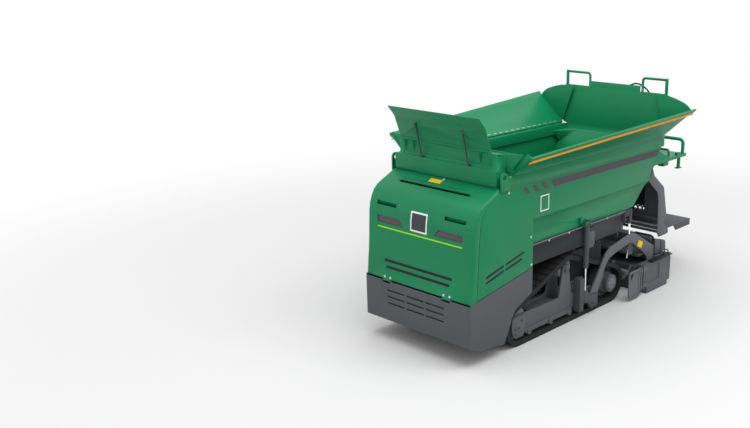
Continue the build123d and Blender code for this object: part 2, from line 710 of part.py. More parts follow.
def perforated(plane, length, first_row):
    """A perforated sheet that starts at a plane's origin and goes up along its Y axis."""
    face = plane * Pos(0, length / 2) * Rectangle(2 * guard_half, length)
    row_count = int((length - first_row) / guard_row_pitch) + 1
    holes = []
    for row in range(row_count):
        shift = (row % 2) * guard_hole_pitch / 2 - guard_hole_pitch / 4
        for column in range(guard_columns):
            across = (column - (guard_columns - 1) / 2) * guard_hole_pitch + shift
            up = first_row + row * guard_row_pitch
            if up + guard_hole_radius < length - 2:
                holes.append(plane * Pos(across, up) * RegularPolygon(guard_hole_radius, guard_hole_sides))
    return extrude(face - holes, amount=guard_sheet)


upright_plane = Plane(origin=(x_at(guard_station), 0, guard_bottom), x_dir=(0, -1, 0), z_dir=(-1, 0, 0))
lean_normal = Vector(-lean_way.Z, 0, lean_way.X).normalized()
lean_plane = Plane(origin=(x_at(guard_station), 0, guard_bend), x_dir=(0, -1, 0), z_dir=lean_normal)
guard = perforated(upright_plane, guard_bend - guard_bottom, 53)
guard += perforated(lean_plane, lean_way.length, 24)
lean_step = lean_way.normalized() * 2
lean_back = lean_normal * guard_sheet
guard += side_prism([
    (guard_station, guard_bend - 2), (guard_station + guard_sheet, guard_bend - 2),
    (guard_station + guard_sheet, guard_bend), (guard_station - lean_back.X, guard_bend + lean_back.Z),
    (guard_station - lean_back.X - lean_step.X, guard_bend + lean_back.Z + lean_step.Z),
    (guard_station - lean_step.X, guard_bend + lean_step.Z),
], -guard_half, guard_half)
parts["rear_guard"] = guard

# Cross beams below the guard
beams = block(beam_front, beam_rear, -post_inner, post_inner, 472, 518)
beams -= block(beam_front - 5, beam_rear - 5, -post_inner - 5, post_inner + 5, 477, 513)
beams += block(beam_rear - 5, guard_station + guard_sheet, -post_inner, post_inner, 518,
               guard_bottom - seat_gap)
beams += rod_y(2330, 412, 12, -post_inner, post_inner)
parts["rear_crossbeams"] = beams

# Console: two arms behind the hopper, a tray between them, a control box and two bows
console_outer = post_inner
arm_low = 940.0
against_wall = [(station_on(rear_sheet_line, height) + rear_wall_sheet, height)
                for height in (arm_low, 1002, console_crest)]
arm_outline = against_wall + [(2475, console_high), (console_rear, console_high),
                              (console_rear - 5, console_low),
                              (2243, console_low - 3), (2200, arm_low)]
console = both_sides(side_prism(arm_outline, console_outer - console_sheet, console_outer))
bow_low = console_high - 8
console += block(console_rear - 290, console_rear - 6, -console_outer, console_outer, console_high - 12,
                 console_high - 4)
console += both_sides(block(console_rear - 140, console_rear - 90, bow_half - 14, bow_half + 10,
                            console_high - 5, console_high + 19))
console += both_sides(block(2395, 2475, console_outer - 60, console_outer - console_sheet,
                            arm_low + 2, console_high - 12))
console += both_sides(rod_z(console_rear - 95, bow_half, 14, 893, console_high - 12))
console += both_sides(block(console_rear - 125, console_rear - 65, bow_half - 18, bow_half + 16, 887, 894))
console += block(console_rear - 190, console_rear - 60, -control_box_half, control_box_half, console_high - 5,
                 console_high + 45)
console += bow(console_rear - 38, [(-bow_half, bow_low), (-bow_half, bow_low + bow_rise),
                                   (bow_half, bow_low + bow_rise), (bow_half, bow_low)], bow_radius, 35)
console += bow(console_rear - 266, [(small_bow_inner, bow_low), (small_bow_inner, bow_low + small_bow_rise),
                                    (bow_half, bow_low + small_bow_rise), (bow_half, bow_low)],
               small_bow_radius, 20)
parts["console"] = console

# Platform: the footplate behind the posts, folding up about its front edge
plate_low = platform_height - platform_sheet
plate = block(platform_front, overall_length, -platform_half_width, platform_half_width, plate_low,
              platform_height)
plate += block(overall_length - 6, overall_length, -platform_half_width, platform_half_width,
               platform_height - platform_flange, platform_height)
slant_start = platform_front + platform_slant_start
flange = side_prism([(slant_start, plate_low),
                     (slant_start + platform_slant, platform_height - platform_flange),
                     (overall_length, platform_height - platform_flange), (overall_length, platform_height),
                     (platform_front, platform_height), (platform_front, plate_low)],
                    platform_half_width - 6, platform_half_width)
plate += both_sides(flange)
plate += block(platform_front - 4, platform_front + 4, -platform_half_width, platform_half_width,
               platform_pin_height, platform_height)
plate += rod_y(platform_front, platform_pin_height, platform_pin_radius, -post_inner + 1, post_inner - 1)
parts["platform"] = plate

# Tow cylinders: barrels hung from the hopper's sides
barrel = rod_z(tow_barrel_station, tow_barrel_y, tow_barrel_radius, tow_barrel_low, tow_barrel_high)
barrel += rod_x(ear_front + 6.3, ear_rear - 6.3, tow_barrel_y, tow_eye_height, 15)
barrel += block(tow_barrel_station - 10, tow_barrel_station + 10, tow_barrel_y - 10, tow_barrel_y + 10,
                tow_barrel_high - 1, tow_eye_height)
barrel += rod_x(ear_front - 4, ear_rear + 4, tow_barrel_y, tow_eye_height, 6)
barrel -= rod_z(tow_barrel_station, tow_barrel_y, tow_rod_radius + seat_gap, tow_barrel_low - 5,
                tow_barrel_low + 220)
parts["tow_cylinders"] = both_sides(barrel)

# Guide rails on the track frames, in which the sliders run
guide_front = 1180.0
guide_rear = 1230.0
guide = block(guide_front, guide_front + 6, frame_outer_face, 512, 60, 315)
guide += block(guide_front, guide_rear, 506, 512, 60, 315)
guide += block(guide_front, guide_rear, frame_outer_face, frame_outer_face + 30, 60, 315)
parts["tow_guides"] = both_sides(guide)

# Tow sliders: rod, guided tongue and the pin on which the arm swings
slider_inner = arm_inner + arm_sheet + seat_gap
slider_outer = slider_inner + slider_sheet
slider_outline = [(1240, 208), (1276, 208), (1316, 152), (1418, 152), (1418, 72), (1396, 50), (1334, 50),
                  (1300, 96), (1240, 120)]
slider = side_prism(slider_outline, slider_inner, slider_outer)
slider += block(1189, 1250, 488, 503, 120, 205)
slider += rod_z(tow_barrel_station, tow_barrel_y, tow_rod_radius, 200, tow_barrel_low + 110)
slider += rod_y(tow_pin_station, tow_pin_height, tow_pin_radius, arm_inner + 1, slider_outer + 6)
parts["tow_sliders"] = both_sides(slider)

# Screed arms
arm_outline = [
    (1325, 62), (1400, 50), (1432, 80), (1436, 150), (1530, 330), (1575, 375), (1665, 400), (1840, 430),
    (1890, 430), (2050, 318), (2115, 265), (2133, 235), (2133, 40), (2225, 40), (2225, 330), (2180, 352),
    (1925, 500), (1855, 505), (1590, 462), (1525, 420), (1475, 345), (1325, 140),
]
arm = side_prism(arm_outline, arm_inner, arm_inner + arm_sheet)
arm -= rod_y(tow_pin_station, tow_pin_height, tow_pin_radius + seat_gap, arm_inner - 5,
             arm_inner + arm_sheet + 5)
arm += side_prism([(1872, 328), (1928, 328), (1928, 435), (1872, 435)], arm_inner - 5.5, arm_inner)
parts["screed_arms"] = both_sides(arm)

# Lift cylinders
barrel = rod_z(lift_station, lift_y, lift_barrel_radius, lift_barrel_low, lift_barrel_high)
barrel += block(bracket_rear + seat_gap, lift_station - 15, lift_y - 6, lift_y + 6, 640, 690)
barrel -= rod_z(lift_station, lift_y, lift_rod_radius + seat_gap, lift_barrel_low - 5, lift_barrel_high + 5)
parts["lift_barrels"] = both_sides(barrel)
rod = rod_z(lift_station, lift_y, lift_rod_radius, lift_eye_height, lift_rod_top)
rod += rod_y(lift_station, lift_eye_height, 15, lift_y - 6, arm_inner - 6)
parts["lift_rods"] = both_sides(rod)

# Screed body: sole box, top beam and rear cover
screed = block(screed_front, screed_rear, -screed_half_width, screed_half_width, screed_low, screed_box_top)
screed += block(screed_front + 20, screed_rear, -screed_half_width, screed_half_width, 276, 296)
screed += block(cover_front, screed_rear, -screed_half_width, screed_half_width, screed_box_top, cover_top)
screed += block(screed_rear, cover_rear, -screed_half_width + 60, screed_half_width - 60, 250, cover_top)
parts["screed_body"] = screed

# Extensions: a rear section behind the sole box and an end box beside it
rear_box = block(screed_rear + seat_gap, extension_rear, 5, gate_inner, 25, extension_top)
end_box = block(1977, screed_rear + 5, arm_inner + arm_sheet + 6, gate_inner, 50, 232)
skid = block(1989, 2297, arm_inner + arm_sheet + 6, gate_outer, screed_low, 50)
end_box -= block(2008, 2190, gate_inner - 6, gate_inner + 5, 76, 216)
top_flange = block(2322, extension_rear + 16, gate_inner - 90, gate_inner + 8, extension_top,
                   extension_top + 7)
extension = rear_box + end_box + skid + top_flange
parts["screed_extension_left"] = extension
parts["screed_extension_right"] = on_right(extension)

# End gates ahead of the extensions
gate = side_prism([(1740, 242), (1719, 225), (1719, 60), (1730, 30), (1765, 13), (1882, 13), (1882, 242)],
                  gate_inner + 6, gate_outer)
gate -= block(1742, 1866, gate_outer - 5, gate_outer + 5, 62, 226)
gate -= side_prism([(1746, 160), (1746, 218), (1800, 218)], gate_inner, gate_outer + 5)
for bar_low in (60, 190):
    gate += block(1860, 1998, gate_inner + seat_gap, gate_inner + 6.5, bar_low, bar_low + 30)
for bar_front in (1895, 1935):
    gate += block(bar_front, bar_front + 16, gate_inner + seat_gap, gate_outer - 1, 48, 240)
parts["end_gate_left"] = gate
parts["end_gate_right"] = on_right(gate)

# Auger: one shaft with flights of both hands, driven from a case in the middle
flight_root = auger_shaft_radius - 2
flight_length = auger_half_length - auger_bare
flight_turns = flight_length / auger_pitch
section_count = int(flight_turns * flight_steps) + 1
sections = []
for index in range(section_count + 1):
    share = index / section_count
    turn = Rot(0, 0, 360 * flight_turns * share)
    upright = Plane(origin=(0, 0, 0), x_dir=(1, 0, 0), z_dir=(0, -1, 0))
    middle = (flight_root + auger_radius) / 2
    strip = upright * Pos(middle, share * flight_length) * Rectangle(auger_radius - flight_root, flight_sheet)
    sections.append(turn * strip)
flight = loft(sections, ruled=True)
flight = Pos(x_at(auger_station), auger_bare, auger_height) * Rot(-90, 0, 0) * flight
auger = rod_y(auger_station, auger_height, auger_shaft_radius, -auger_half_length, auger_half_length)
parts["auger"] = auger + flight + on_right(flight)
case = block(1870, 1934, -28, 28, auger_height + auger_shaft_radius + seat_gap, 640)
parts["auger_case"] = case


def write_all():
    """Writes one STEP file for each piece."""
    for name, solid in parts.items():
        export_step(solid, f"parts/{name}.step")


write_all()
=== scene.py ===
"""Looks of a small tracked asphalt paver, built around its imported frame.

The machine drives towards +X, its left side is +Y, and the ground is at Z = 0. Lengths are millimetres
unless a name or comment says otherwise; a station is the distance behind the foremost face.
"""

import json
import logging
import math
from dataclasses import dataclass
from enum import Enum
from typing import Optional, Sequence

import bmesh
import bpy
from bpy.types import Material, Mesh, Node, NodeSocket, NodeTree, Object
from mathutils import Matrix, Vector

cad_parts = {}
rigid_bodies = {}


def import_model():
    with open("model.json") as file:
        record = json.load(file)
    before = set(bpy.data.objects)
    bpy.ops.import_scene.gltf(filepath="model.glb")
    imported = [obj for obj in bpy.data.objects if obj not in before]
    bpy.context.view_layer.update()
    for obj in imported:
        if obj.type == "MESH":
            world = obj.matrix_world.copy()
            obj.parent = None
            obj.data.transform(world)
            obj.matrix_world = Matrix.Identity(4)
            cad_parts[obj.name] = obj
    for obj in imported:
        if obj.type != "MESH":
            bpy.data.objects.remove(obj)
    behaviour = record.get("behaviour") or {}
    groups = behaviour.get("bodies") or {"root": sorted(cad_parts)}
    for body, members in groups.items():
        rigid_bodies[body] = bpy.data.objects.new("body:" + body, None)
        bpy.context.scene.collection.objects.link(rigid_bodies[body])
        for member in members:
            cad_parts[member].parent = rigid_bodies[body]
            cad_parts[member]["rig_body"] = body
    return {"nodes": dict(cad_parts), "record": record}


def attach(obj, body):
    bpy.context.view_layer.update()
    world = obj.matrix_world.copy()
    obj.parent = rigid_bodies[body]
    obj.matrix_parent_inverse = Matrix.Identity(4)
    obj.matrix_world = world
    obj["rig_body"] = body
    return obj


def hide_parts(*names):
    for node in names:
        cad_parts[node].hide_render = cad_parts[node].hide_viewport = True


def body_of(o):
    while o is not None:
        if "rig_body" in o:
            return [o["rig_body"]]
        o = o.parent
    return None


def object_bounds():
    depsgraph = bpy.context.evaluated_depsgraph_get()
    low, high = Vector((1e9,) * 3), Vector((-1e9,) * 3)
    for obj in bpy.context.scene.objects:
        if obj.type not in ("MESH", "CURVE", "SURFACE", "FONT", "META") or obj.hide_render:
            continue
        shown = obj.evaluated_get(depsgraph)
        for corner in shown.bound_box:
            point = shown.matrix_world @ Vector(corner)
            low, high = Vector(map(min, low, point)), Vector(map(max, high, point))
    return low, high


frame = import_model()

LOG = logging.getLogger("paver")
LIBRARY_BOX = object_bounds()
FRONT_X = LIBRARY_BOX[1].x
HALF_WIDTH = 490.0
LEFT = Vector((0, 1, 0))
EXTENSIONS = (("extension_left", 1), ("extension_right", -1))
# Two faces that meet at less than this are shaded as one
SMOOTH_BELOW = math.radians(32)
# Widths of the broken edges of sheet and of plate, and a panel screw's width and height
SHEET_EDGE = 1.0
PLATE_EDGE = 2.0
SCREW_HEAD = (11.0, 5.0)
WHITE_LIGHT = (1.0, 1.0, 1.0, 1.0)

Point = tuple[float, float, float]
Pair = tuple[float, float]
Outline = tuple[Pair, ...]
Path = tuple[Point, ...]
Box = tuple[Pair, Pair, Pair]
Corner = tuple[int, float, float]


def mm(value: float) -> float:
    """Metres of a length in millimetres."""
    return value / 1000.0


def at(station: float, y: float, z: float) -> Vector:
    """A point in metres, from its station, its distance to the left and its height in millimetres."""
    return Vector((FRONT_X - mm(station), mm(y), mm(z)))


def linear(hex_colour: str) -> tuple[float, float, float, float]:
    """Linear RGBA of an sRGB colour written as six hex digits."""
    channels = [int(hex_colour[i:i + 2], 16) / 255 for i in (0, 2, 4)]
    values = [c / 12.92 if c <= 0.04045 else ((c + 0.055) / 1.055) ** 2.4 for c in channels]
    return (*values, 1.0)


def add_node(tree: NodeTree, kind: str, settings: Optional[dict] = None,
             **inputs) -> Node:
    """Adds one node, sets its properties and fills its inputs.

    Args:
        tree: The node tree that gets it.
        kind: The node's type name.
        settings: Properties of the node by name.
        inputs: Inputs by name, with underscores for spaces, or by identifier; a socket is linked, a
            value is set.

    Returns:
        The new node.
    """
    node = tree.nodes.new(kind)
    for name, value in (settings or {}).items():
        setattr(node, name, value)
    for name, value in inputs.items():
        spoken = name.replace("_", " ")
        socket = next(s for s in node.inputs if s.enabled and (s.name == spoken or s.identifier == name))
        if isinstance(value, NodeSocket):
            tree.links.new(value, socket)
        else:
            socket.default_value = value
    return node


def combine(tree: NodeTree, operation: str, one: NodeSocket, other: NodeSocket) -> NodeSocket:
    """The result of a Math node with two linked inputs."""
    return add_node(tree, "ShaderNodeMath", {"operation": operation}, Value=one, Value_001=other).outputs[0]


def cleared(holder: bpy.types.ID) -> NodeTree:
    """The emptied node tree of a material or world."""
    holder.use_nodes = True
    holder.node_tree.nodes.clear()
    return holder.node_tree


def show(thing: Object) -> None:
    """Links an object into the scene."""
    bpy.context.scene.collection.objects.link(thing)


def aim(name: str, data: bpy.types.ID, place: Point, way: Vector) -> Object:
    """Shows a camera or lamp at a place in metres, looking along a direction.

    Args:
        name: Its name.
        data: The camera's or the lamp's data.
        place: Where it stands.
        way: Which way it looks.

    Returns:
        The object.
    """
    made = bpy.data.objects.new(name, data)
    made.location = place
    made.rotation_mode = "QUATERNION"
    made.rotation_quaternion = way.to_track_quat("-Z", "Y")
    show(made)
    return made


class Texture(Enum):
    """What the skin of a finish is like close up."""
    ENAMEL = "enamel"
    RUBBER = "rubber"
    CASTING = "casting"
    PLATED = "plated"
    GRIT = "grit"
    FILM = "film"


@dataclass(frozen=True)
class Finish:
    """One real finish and how it is drawn."""
    name: str
    colour: str
    roughness: float
    texture: Texture
    slot: Optional[str] = None
    metallic: float = 0.0
    specular: float = 0.25
    grain_mm: float = 3.0
    relief_mm: float = 0.02
    patch_mm: float = 420.0
    patch: float = 0.05
    edge_mm: float = 2.0
    patch_noise: Pair = (0.3, 0.7)
    gloss_change: Pair = (0.92, 1.1)
    metal_specular: float = 0.5
    relief_strength: float = 0.7

    def material(self) -> Material:
        """The finish's material, made once.

        Returns:
            The node-based material.
        """
        found = bpy.data.materials.get(self.name)
        if found:
            return found
        made = bpy.data.materials.new(self.name)
        tree = cleared(made)
        place = add_node(tree, "ShaderNodeTexCoord").outputs["Object"]
        noise = add_node(tree, "ShaderNodeTexNoise", Vector=place, Scale=1 / mm(self.patch_mm), Detail=3.0)
        shade, gloss = (
            add_node(tree, "ShaderNodeMapRange", Value=noise.outputs["Fac"], From_Min=self.patch_noise[0],
                     From_Max=self.patch_noise[1], To_Min=low, To_Max=high).outputs["Result"]
            for low, high in ((1 - self.patch, 1 + self.patch),
                              (self.roughness * self.gloss_change[0], self.roughness * self.gloss_change[1])))
        tint = add_node(tree, "ShaderNodeHueSaturation", Color=linear(self.colour), Value=shade)
        edge = add_node(tree, "ShaderNodeBevel", {"samples": 4}, Radius=mm(self.edge_mm))
        normal = edge.outputs["Normal"]
        height = self.height(tree, place)
        if height:
            normal = add_node(tree, "ShaderNodeBump", Strength=self.relief_strength, Height=height,
                              Distance=mm(self.relief_mm), Normal=normal).outputs["Normal"]
        shader = add_node(tree, "ShaderNodeBsdfPrincipled", Base_Color=tint.outputs["Color"], Roughness=gloss,
                          Normal=normal, Metallic=self.metallic,
                          Specular_IOR_Level=self.metal_specular if self.metallic else self.specular)
        add_node(tree, "ShaderNodeOutputMaterial", Surface=shader.outputs["BSDF"])
        return made

    def height(self, tree: NodeTree, place: NodeSocket) -> Optional[NodeSocket]:
        """The fine relief of the finish's skin.

        Args:
            tree: The material's node tree.
            place: The Object coordinates.

        Returns:
            The socket with the height, or None for a smooth skin.
        """
        scale = 1 / mm(self.grain_mm)
        if self.texture is Texture.FILM:
            return None
        if self.texture in (Texture.CASTING, Texture.GRIT):
            return add_node(tree, "ShaderNodeTexVoronoi", Vector=place, Scale=scale).outputs["Distance"]
        if self.texture is Texture.PLATED:
            drawn = add_node(tree, "ShaderNodeMapping", Vector=place, Scale=(1.0, 1.0, 0.05))
            place = drawn.outputs["Vector"]
        detail = 6.0 if self.texture is Texture.RUBBER else 2.0
        return add_node(tree, "ShaderNodeTexNoise", Vector=place, Scale=scale, Detail=detail).outputs["Fac"]


# Enamel sprayed on steel: an even deep green that keeps a soft, wide sheen
GREEN = Finish("sprayed_green_enamel", "0b8052", 0.4, Texture.ENAMEL, "green_paint", specular=0.28)
# Polyester powder coat on sheet steel: flat slate grey, hardly any sheen
GREY = Finish("slate_powder_coat", "53575a", 0.5, Texture.ENAMEL, "grey_paint")
# The same powder coat, darker on the panels over the tracks: partly a darker mix, partly painted shade from
# the overhang of the hopper's sides
SHADED_PANEL_GREY = Finish("dark_slate_and_painted_shade", "323638", 0.5, Texture.ENAMEL, "grey_paint")
# Powder coat on plates and castings: nearly black, a little rougher
DARK = Finish("black_powder_coat", "4a4d50", 0.52, Texture.ENAMEL, "dark_paint")
# Sand-cast and welded parts under black paint: their skin is grainy
CAST_DARK = Finish("painted_castings", "5a5c60", 0.6, Texture.CASTING, "dark_paint", grain_mm=3.5,
                   relief_mm=0.12)
# The dark enamel painted paler on the arms, posts and gates: painted light, as these parts catch the light
# beside the track
LIT_ARM_GREY = Finish("arm_enamel_painted_light", "64666b", 0.55, Texture.CASTING, "dark_paint", grain_mm=3.5, relief_mm=0.1)
# A pale mauve-grey strip along the lower edge of each side panel
PALE_STRIP = Finish("pale_mauve_grey_strip", "8a8488", 0.6, Texture.FILM, "grey_paint")
# Grit-coated footplate: paler than the frame, and rough enough to stand on
GRIT = Finish("grit_coated_plate", "5a5c5f", 0.75, Texture.GRIT, "dark_paint", grain_mm=5.0, relief_mm=0.5)
# Vulcanised rubber of the track belts: nearly black and dull, with a faint bloom
RUBBER = Finish("vulcanised_track_rubber", "262627", 0.8, Texture.RUBBER, "track_rubber", grain_mm=6.0,
                relief_mm=0.25, patch_mm=120.0, patch=0.14)
# Grey cast iron of the track's wheels and the auger: rough, with a dull metal glint
CASTING = Finish("grey_cast_iron", "7a7c80", 0.58, Texture.CASTING, "bare_steel", relief_mm=0.12)
# Floor and slats that the asphalt polishes: steel with a dark oily film
WORN = Finish("slid_bright_steel", "6c6e70", 0.45, Texture.PLATED, "worn_steel", metallic=0.6, grain_mm=8.0)
# Hard chrome on the piston rods: bright mirror metal
CHROME = Finish("hard_chrome", "eef0f2", 0.14, Texture.PLATED, "chrome_rod", metallic=1.0, relief_mm=0.0)
# Zinc on bolts and nuts: pale silver, slightly dull
ZINC = Finish("zinc_plated_bolts", "d3d6d8", 0.34, Texture.PLATED, "bare_steel", metallic=0.85, relief_mm=0.0)
# Extruded rubber hose: black with a soft sheen along its top
HOSE = Finish("hydraulic_hose_rubber", "161618", 0.45, Texture.RUBBER, relief_mm=0.05)
# Moulded lamp covers: slate plastic with a purple cast
LAMP = Finish("smoked_lamp_cover", "565055", 0.35, Texture.FILM, "dark_paint")
# Adhesive films: each a flat colour with clean edges
LIME = Finish("lime_film", "a4ec00", 0.5, Texture.FILM)
WHITE = Finish("white_film", "f4f5f5", 0.5, Texture.FILM)
SLATE = Finish("slate_film", "3f4448", 0.5, Texture.FILM)
MAUVE = Finish("mauve_grey_film", "534e54", 0.6, Texture.FILM)
AMBER = Finish("amber_film", "f3a733", 0.5, Texture.FILM)
YELLOW = Finish("yellow_film", "f5c60a", 0.5, Texture.FILM)

SLOT_FINISH = {
    "green_paint": GREEN, "grey_paint": GREY, "dark_paint": DARK, "worn_steel": WORN, "bare_steel": CASTING,
    "chrome_rod": CHROME, "track_rubber": RUBBER,
}
NODE_FINISH = {"side_panels": SHADED_PANEL_GREY, "platform": GRIT, "head_lamps": LAMP, "screed_arms": LIT_ARM_GREY,
               "rear_posts": LIT_ARM_GREY}
for hand in ("left", "right"):
    NODE_FINISH["end_gate_" + hand] = LIT_ARM_GREY
    for painted in ("track_frame_", "screed_extension_", "final_drive_"):
        NODE_FINISH[painted + hand] = CAST_DARK


def finish_of(row: dict) -> Finish:
    """The finish that a record row's node, or else its material slot, calls for."""
    return NODE_FINISH.get(row["node"], SLOT_FINISH[row["material_slot"]])


def ring(middle: Vector, way: Vector, across: Vector, radius: float, sides: int) -> list[Vector]:
    """Points of a circle round a line.

    Args:
        middle: Its centre, in metres.
        way: The line's direction, of length one.
        across: The direction of its first point, square to the line.
        radius: Its radius in mm.
        sides: How many points it gets.

    Returns:
        The points, in metres.
    """
    other = way.cross(across)
    turns = (2 * math.pi * step / sides for step in range(sides))
    return [middle + (across * math.cos(t) + other * math.sin(t)) * mm(radius) for t in turns]


class Form:
    """Closed shapes drawn in the machine's millimetres and gathered into one piece."""

    def __init__(self) -> None:
        """Starts an empty form."""
        self.mesh = bmesh.new()

    def prism(self, outline: Sequence[Point], depth: Point, bevel: float = 0.0) -> "Form":
        """Adds a flat outline drawn out along a line.

        Args:
            outline: Corners as (station, y, z).
            depth: How far it is drawn out, as (station, y, z).
            bevel: Width of the broken edges.

        Returns:
            The form.
        """
        near = [self.mesh.verts.new(at(*corner)) for corner in outline]
        far = [self.mesh.verts.new(at(*(a + b for a, b in zip(corner, depth)))) for corner in outline]
        faces = [self.mesh.faces.new(near), self.mesh.faces.new(far[::-1])]
        for index in range(len(near)):
            after = (index + 1) % len(near)
            faces.append(self.mesh.faces.new((near[after], near[index], far[index], far[after])))
        if bevel:
            edges = list({edge for face in faces for edge in face.edges})
            bmesh.ops.bevel(self.mesh, geom=edges, offset=mm(bevel), segments=2, profile=0.5,
                            affect="EDGES", clamp_overlap=True)
        return self

    def stamp(self, section: Sequence[Pair], length: float) -> "Form":
        """Adds a bar of one (y, z) section along X, with its middle at the frame's origin."""
        start = FRONT_X * 1000 + length / 2
        return self.prism([(start, y, z) for y, z in section], (-length, 0.0, 0.0))

    def side(self, outline: Sequence[Pair], y: float, sheet: float, bevel: float = 0.0) -> "Form":
        """Adds a sheet with an outline of (station, z) corners, from its right face at y leftwards."""
        return self.prism([(station, y, z) for station, z in outline], (0.0, sheet, 0.0), bevel)

    def box(self, stations: Pair, widths: Pair, heights: Pair, bevel: float = 0.0) -> "Form":
        """Adds a box between two stations, two widths and two heights."""
        (front, rear), (right, left), (low, high) = stations, widths, heights
        return self.side([(front, low), (rear, low), (rear, high), (front, high)], right, left - right, bevel)

    def rings(self, rings: Sequence[Sequence[Vector]]) -> "Form":
        """Joins rings of equally many points, in metres, to a skin with closed ends."""
        made = [[self.mesh.verts.new(point) for point in points] for points in rings]
        count = len(made[0])
        for one, other in zip(made, made[1:]):
            for index in range(count):
                after = (index + 1) % count
                self.mesh.faces.new((one[index], one[after], other[after], other[index]))
        self.mesh.faces.new(made[0][::-1])
        self.mesh.faces.new(made[-1])
        return self

    def tube(self, path: Sequence[Point], radius: float, sides: int = 12) -> "Form":
        """Adds a round tube along a path of (station, y, z) points."""
        line = [at(*point) for point in path]
        rings = []
        across = None
        for index, centre in enumerate(line):
            way = (line[min(index + 1, len(line) - 1)] - line[max(index - 1, 0)]).normalized()
            if across is None:
                across = way.orthogonal().normalized()
            across = (across - way * across.dot(way)).normalized()
            rings.append(ring(centre, way, across, radius, sides))
        return self.rings(rings)

    def lathe(self, centre: Point, axis: Vector, profile: Sequence[Pair], sides: int = 20) -> "Form":
        """Adds a turned shape.

        Args:
            centre: Where the axis starts, as (station, y, z).
            axis: The axis in the machine's frame.
            profile: (radius, distance along the axis) pairs.
            sides: How many flat sides go round.

        Returns:
            The form.
        """
        way = axis.normalized()
        across = way.orthogonal().normalized()
        return self.rings([ring(at(*centre) + way * mm(along), way, across, radius, sides)
                           for radius, along in profile])

    def both_sides(self) -> "Form":
        """Adds the mirror image across the machine's middle."""
        whole = self.mesh.verts[:] + self.mesh.edges[:] + self.mesh.faces[:]
        for item in bmesh.ops.duplicate(self.mesh, geom=whole)["geom"]:
            if isinstance(item, bmesh.types.BMVert):
                item.co.y = -item.co.y
        return self

    def data(self, name: str) -> Mesh:
        """Turns the form into a mesh with its faces outwards."""
        bmesh.ops.recalc_face_normals(self.mesh, faces=self.mesh.faces)
        made = bpy.data.meshes.new(name)
        self.mesh.to_mesh(made)
        self.mesh.free()
        return made

    def done(self, name: str, finish: Finish, body: str = "chassis") -> Object:
        """Places the form as a piece; the arguments are those of place_piece."""
        return place_piece(self.data(name), name, finish, body)


def place_piece(mesh: Mesh, name: str, finish: Finish, body: str) -> Object:
    """Shows a mesh as one piece of the machine.

    Args:
        mesh: The mesh, in the machine's frame.
        name: The piece's name.
        finish: What it is finished with.
        body: The body that it rides on.

    Returns:
        The piece.
    """
    mesh.materials.clear()
    mesh.materials.append(finish.material())
    mesh.shade_smooth()
    mesh.set_sharp_from_angle(angle=SMOOTH_BELOW)
    piece = bpy.data.objects.new(name, mesh)
    show(piece)
    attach(piece, body)
    LOG.info("piece %s: %d faces on %s", name, len(mesh.polygons), body)
    return piece


def rounded(path: Sequence[Point], radius: float, steps: int = 5, most: float = 0.48) -> list[Point]:
    """A path whose corners are rounded.

    Args:
        path: Corner points as (station, y, z).
        radius: How far before and after each corner the bend starts.
        steps: Points per bend.
        most: Largest share of a straight that one bend takes up.

    Returns:
        The finer path.
    """
    points = [Vector(point) for point in path]
    finer = [points[0]]
    for before, corner, after in zip(points, points[1:], points[2:]):
        reach = min(radius, (corner - before).length * most, (after - corner).length * most)
        start = corner + (before - corner).normalized() * reach
        end = corner + (after - corner).normalized() * reach
        for step in range(steps + 1):
            share = step / steps
            finer.append(start * (1 - share) ** 2 + corner * 2 * share * (1 - share) + end * share ** 2)
    finer.append(points[-1])
    return [tuple(point) for point in finer]


@dataclass
class Seat:
    """Where a stamped shape sits, and which way it points."""
    place: Point
    way: Vector


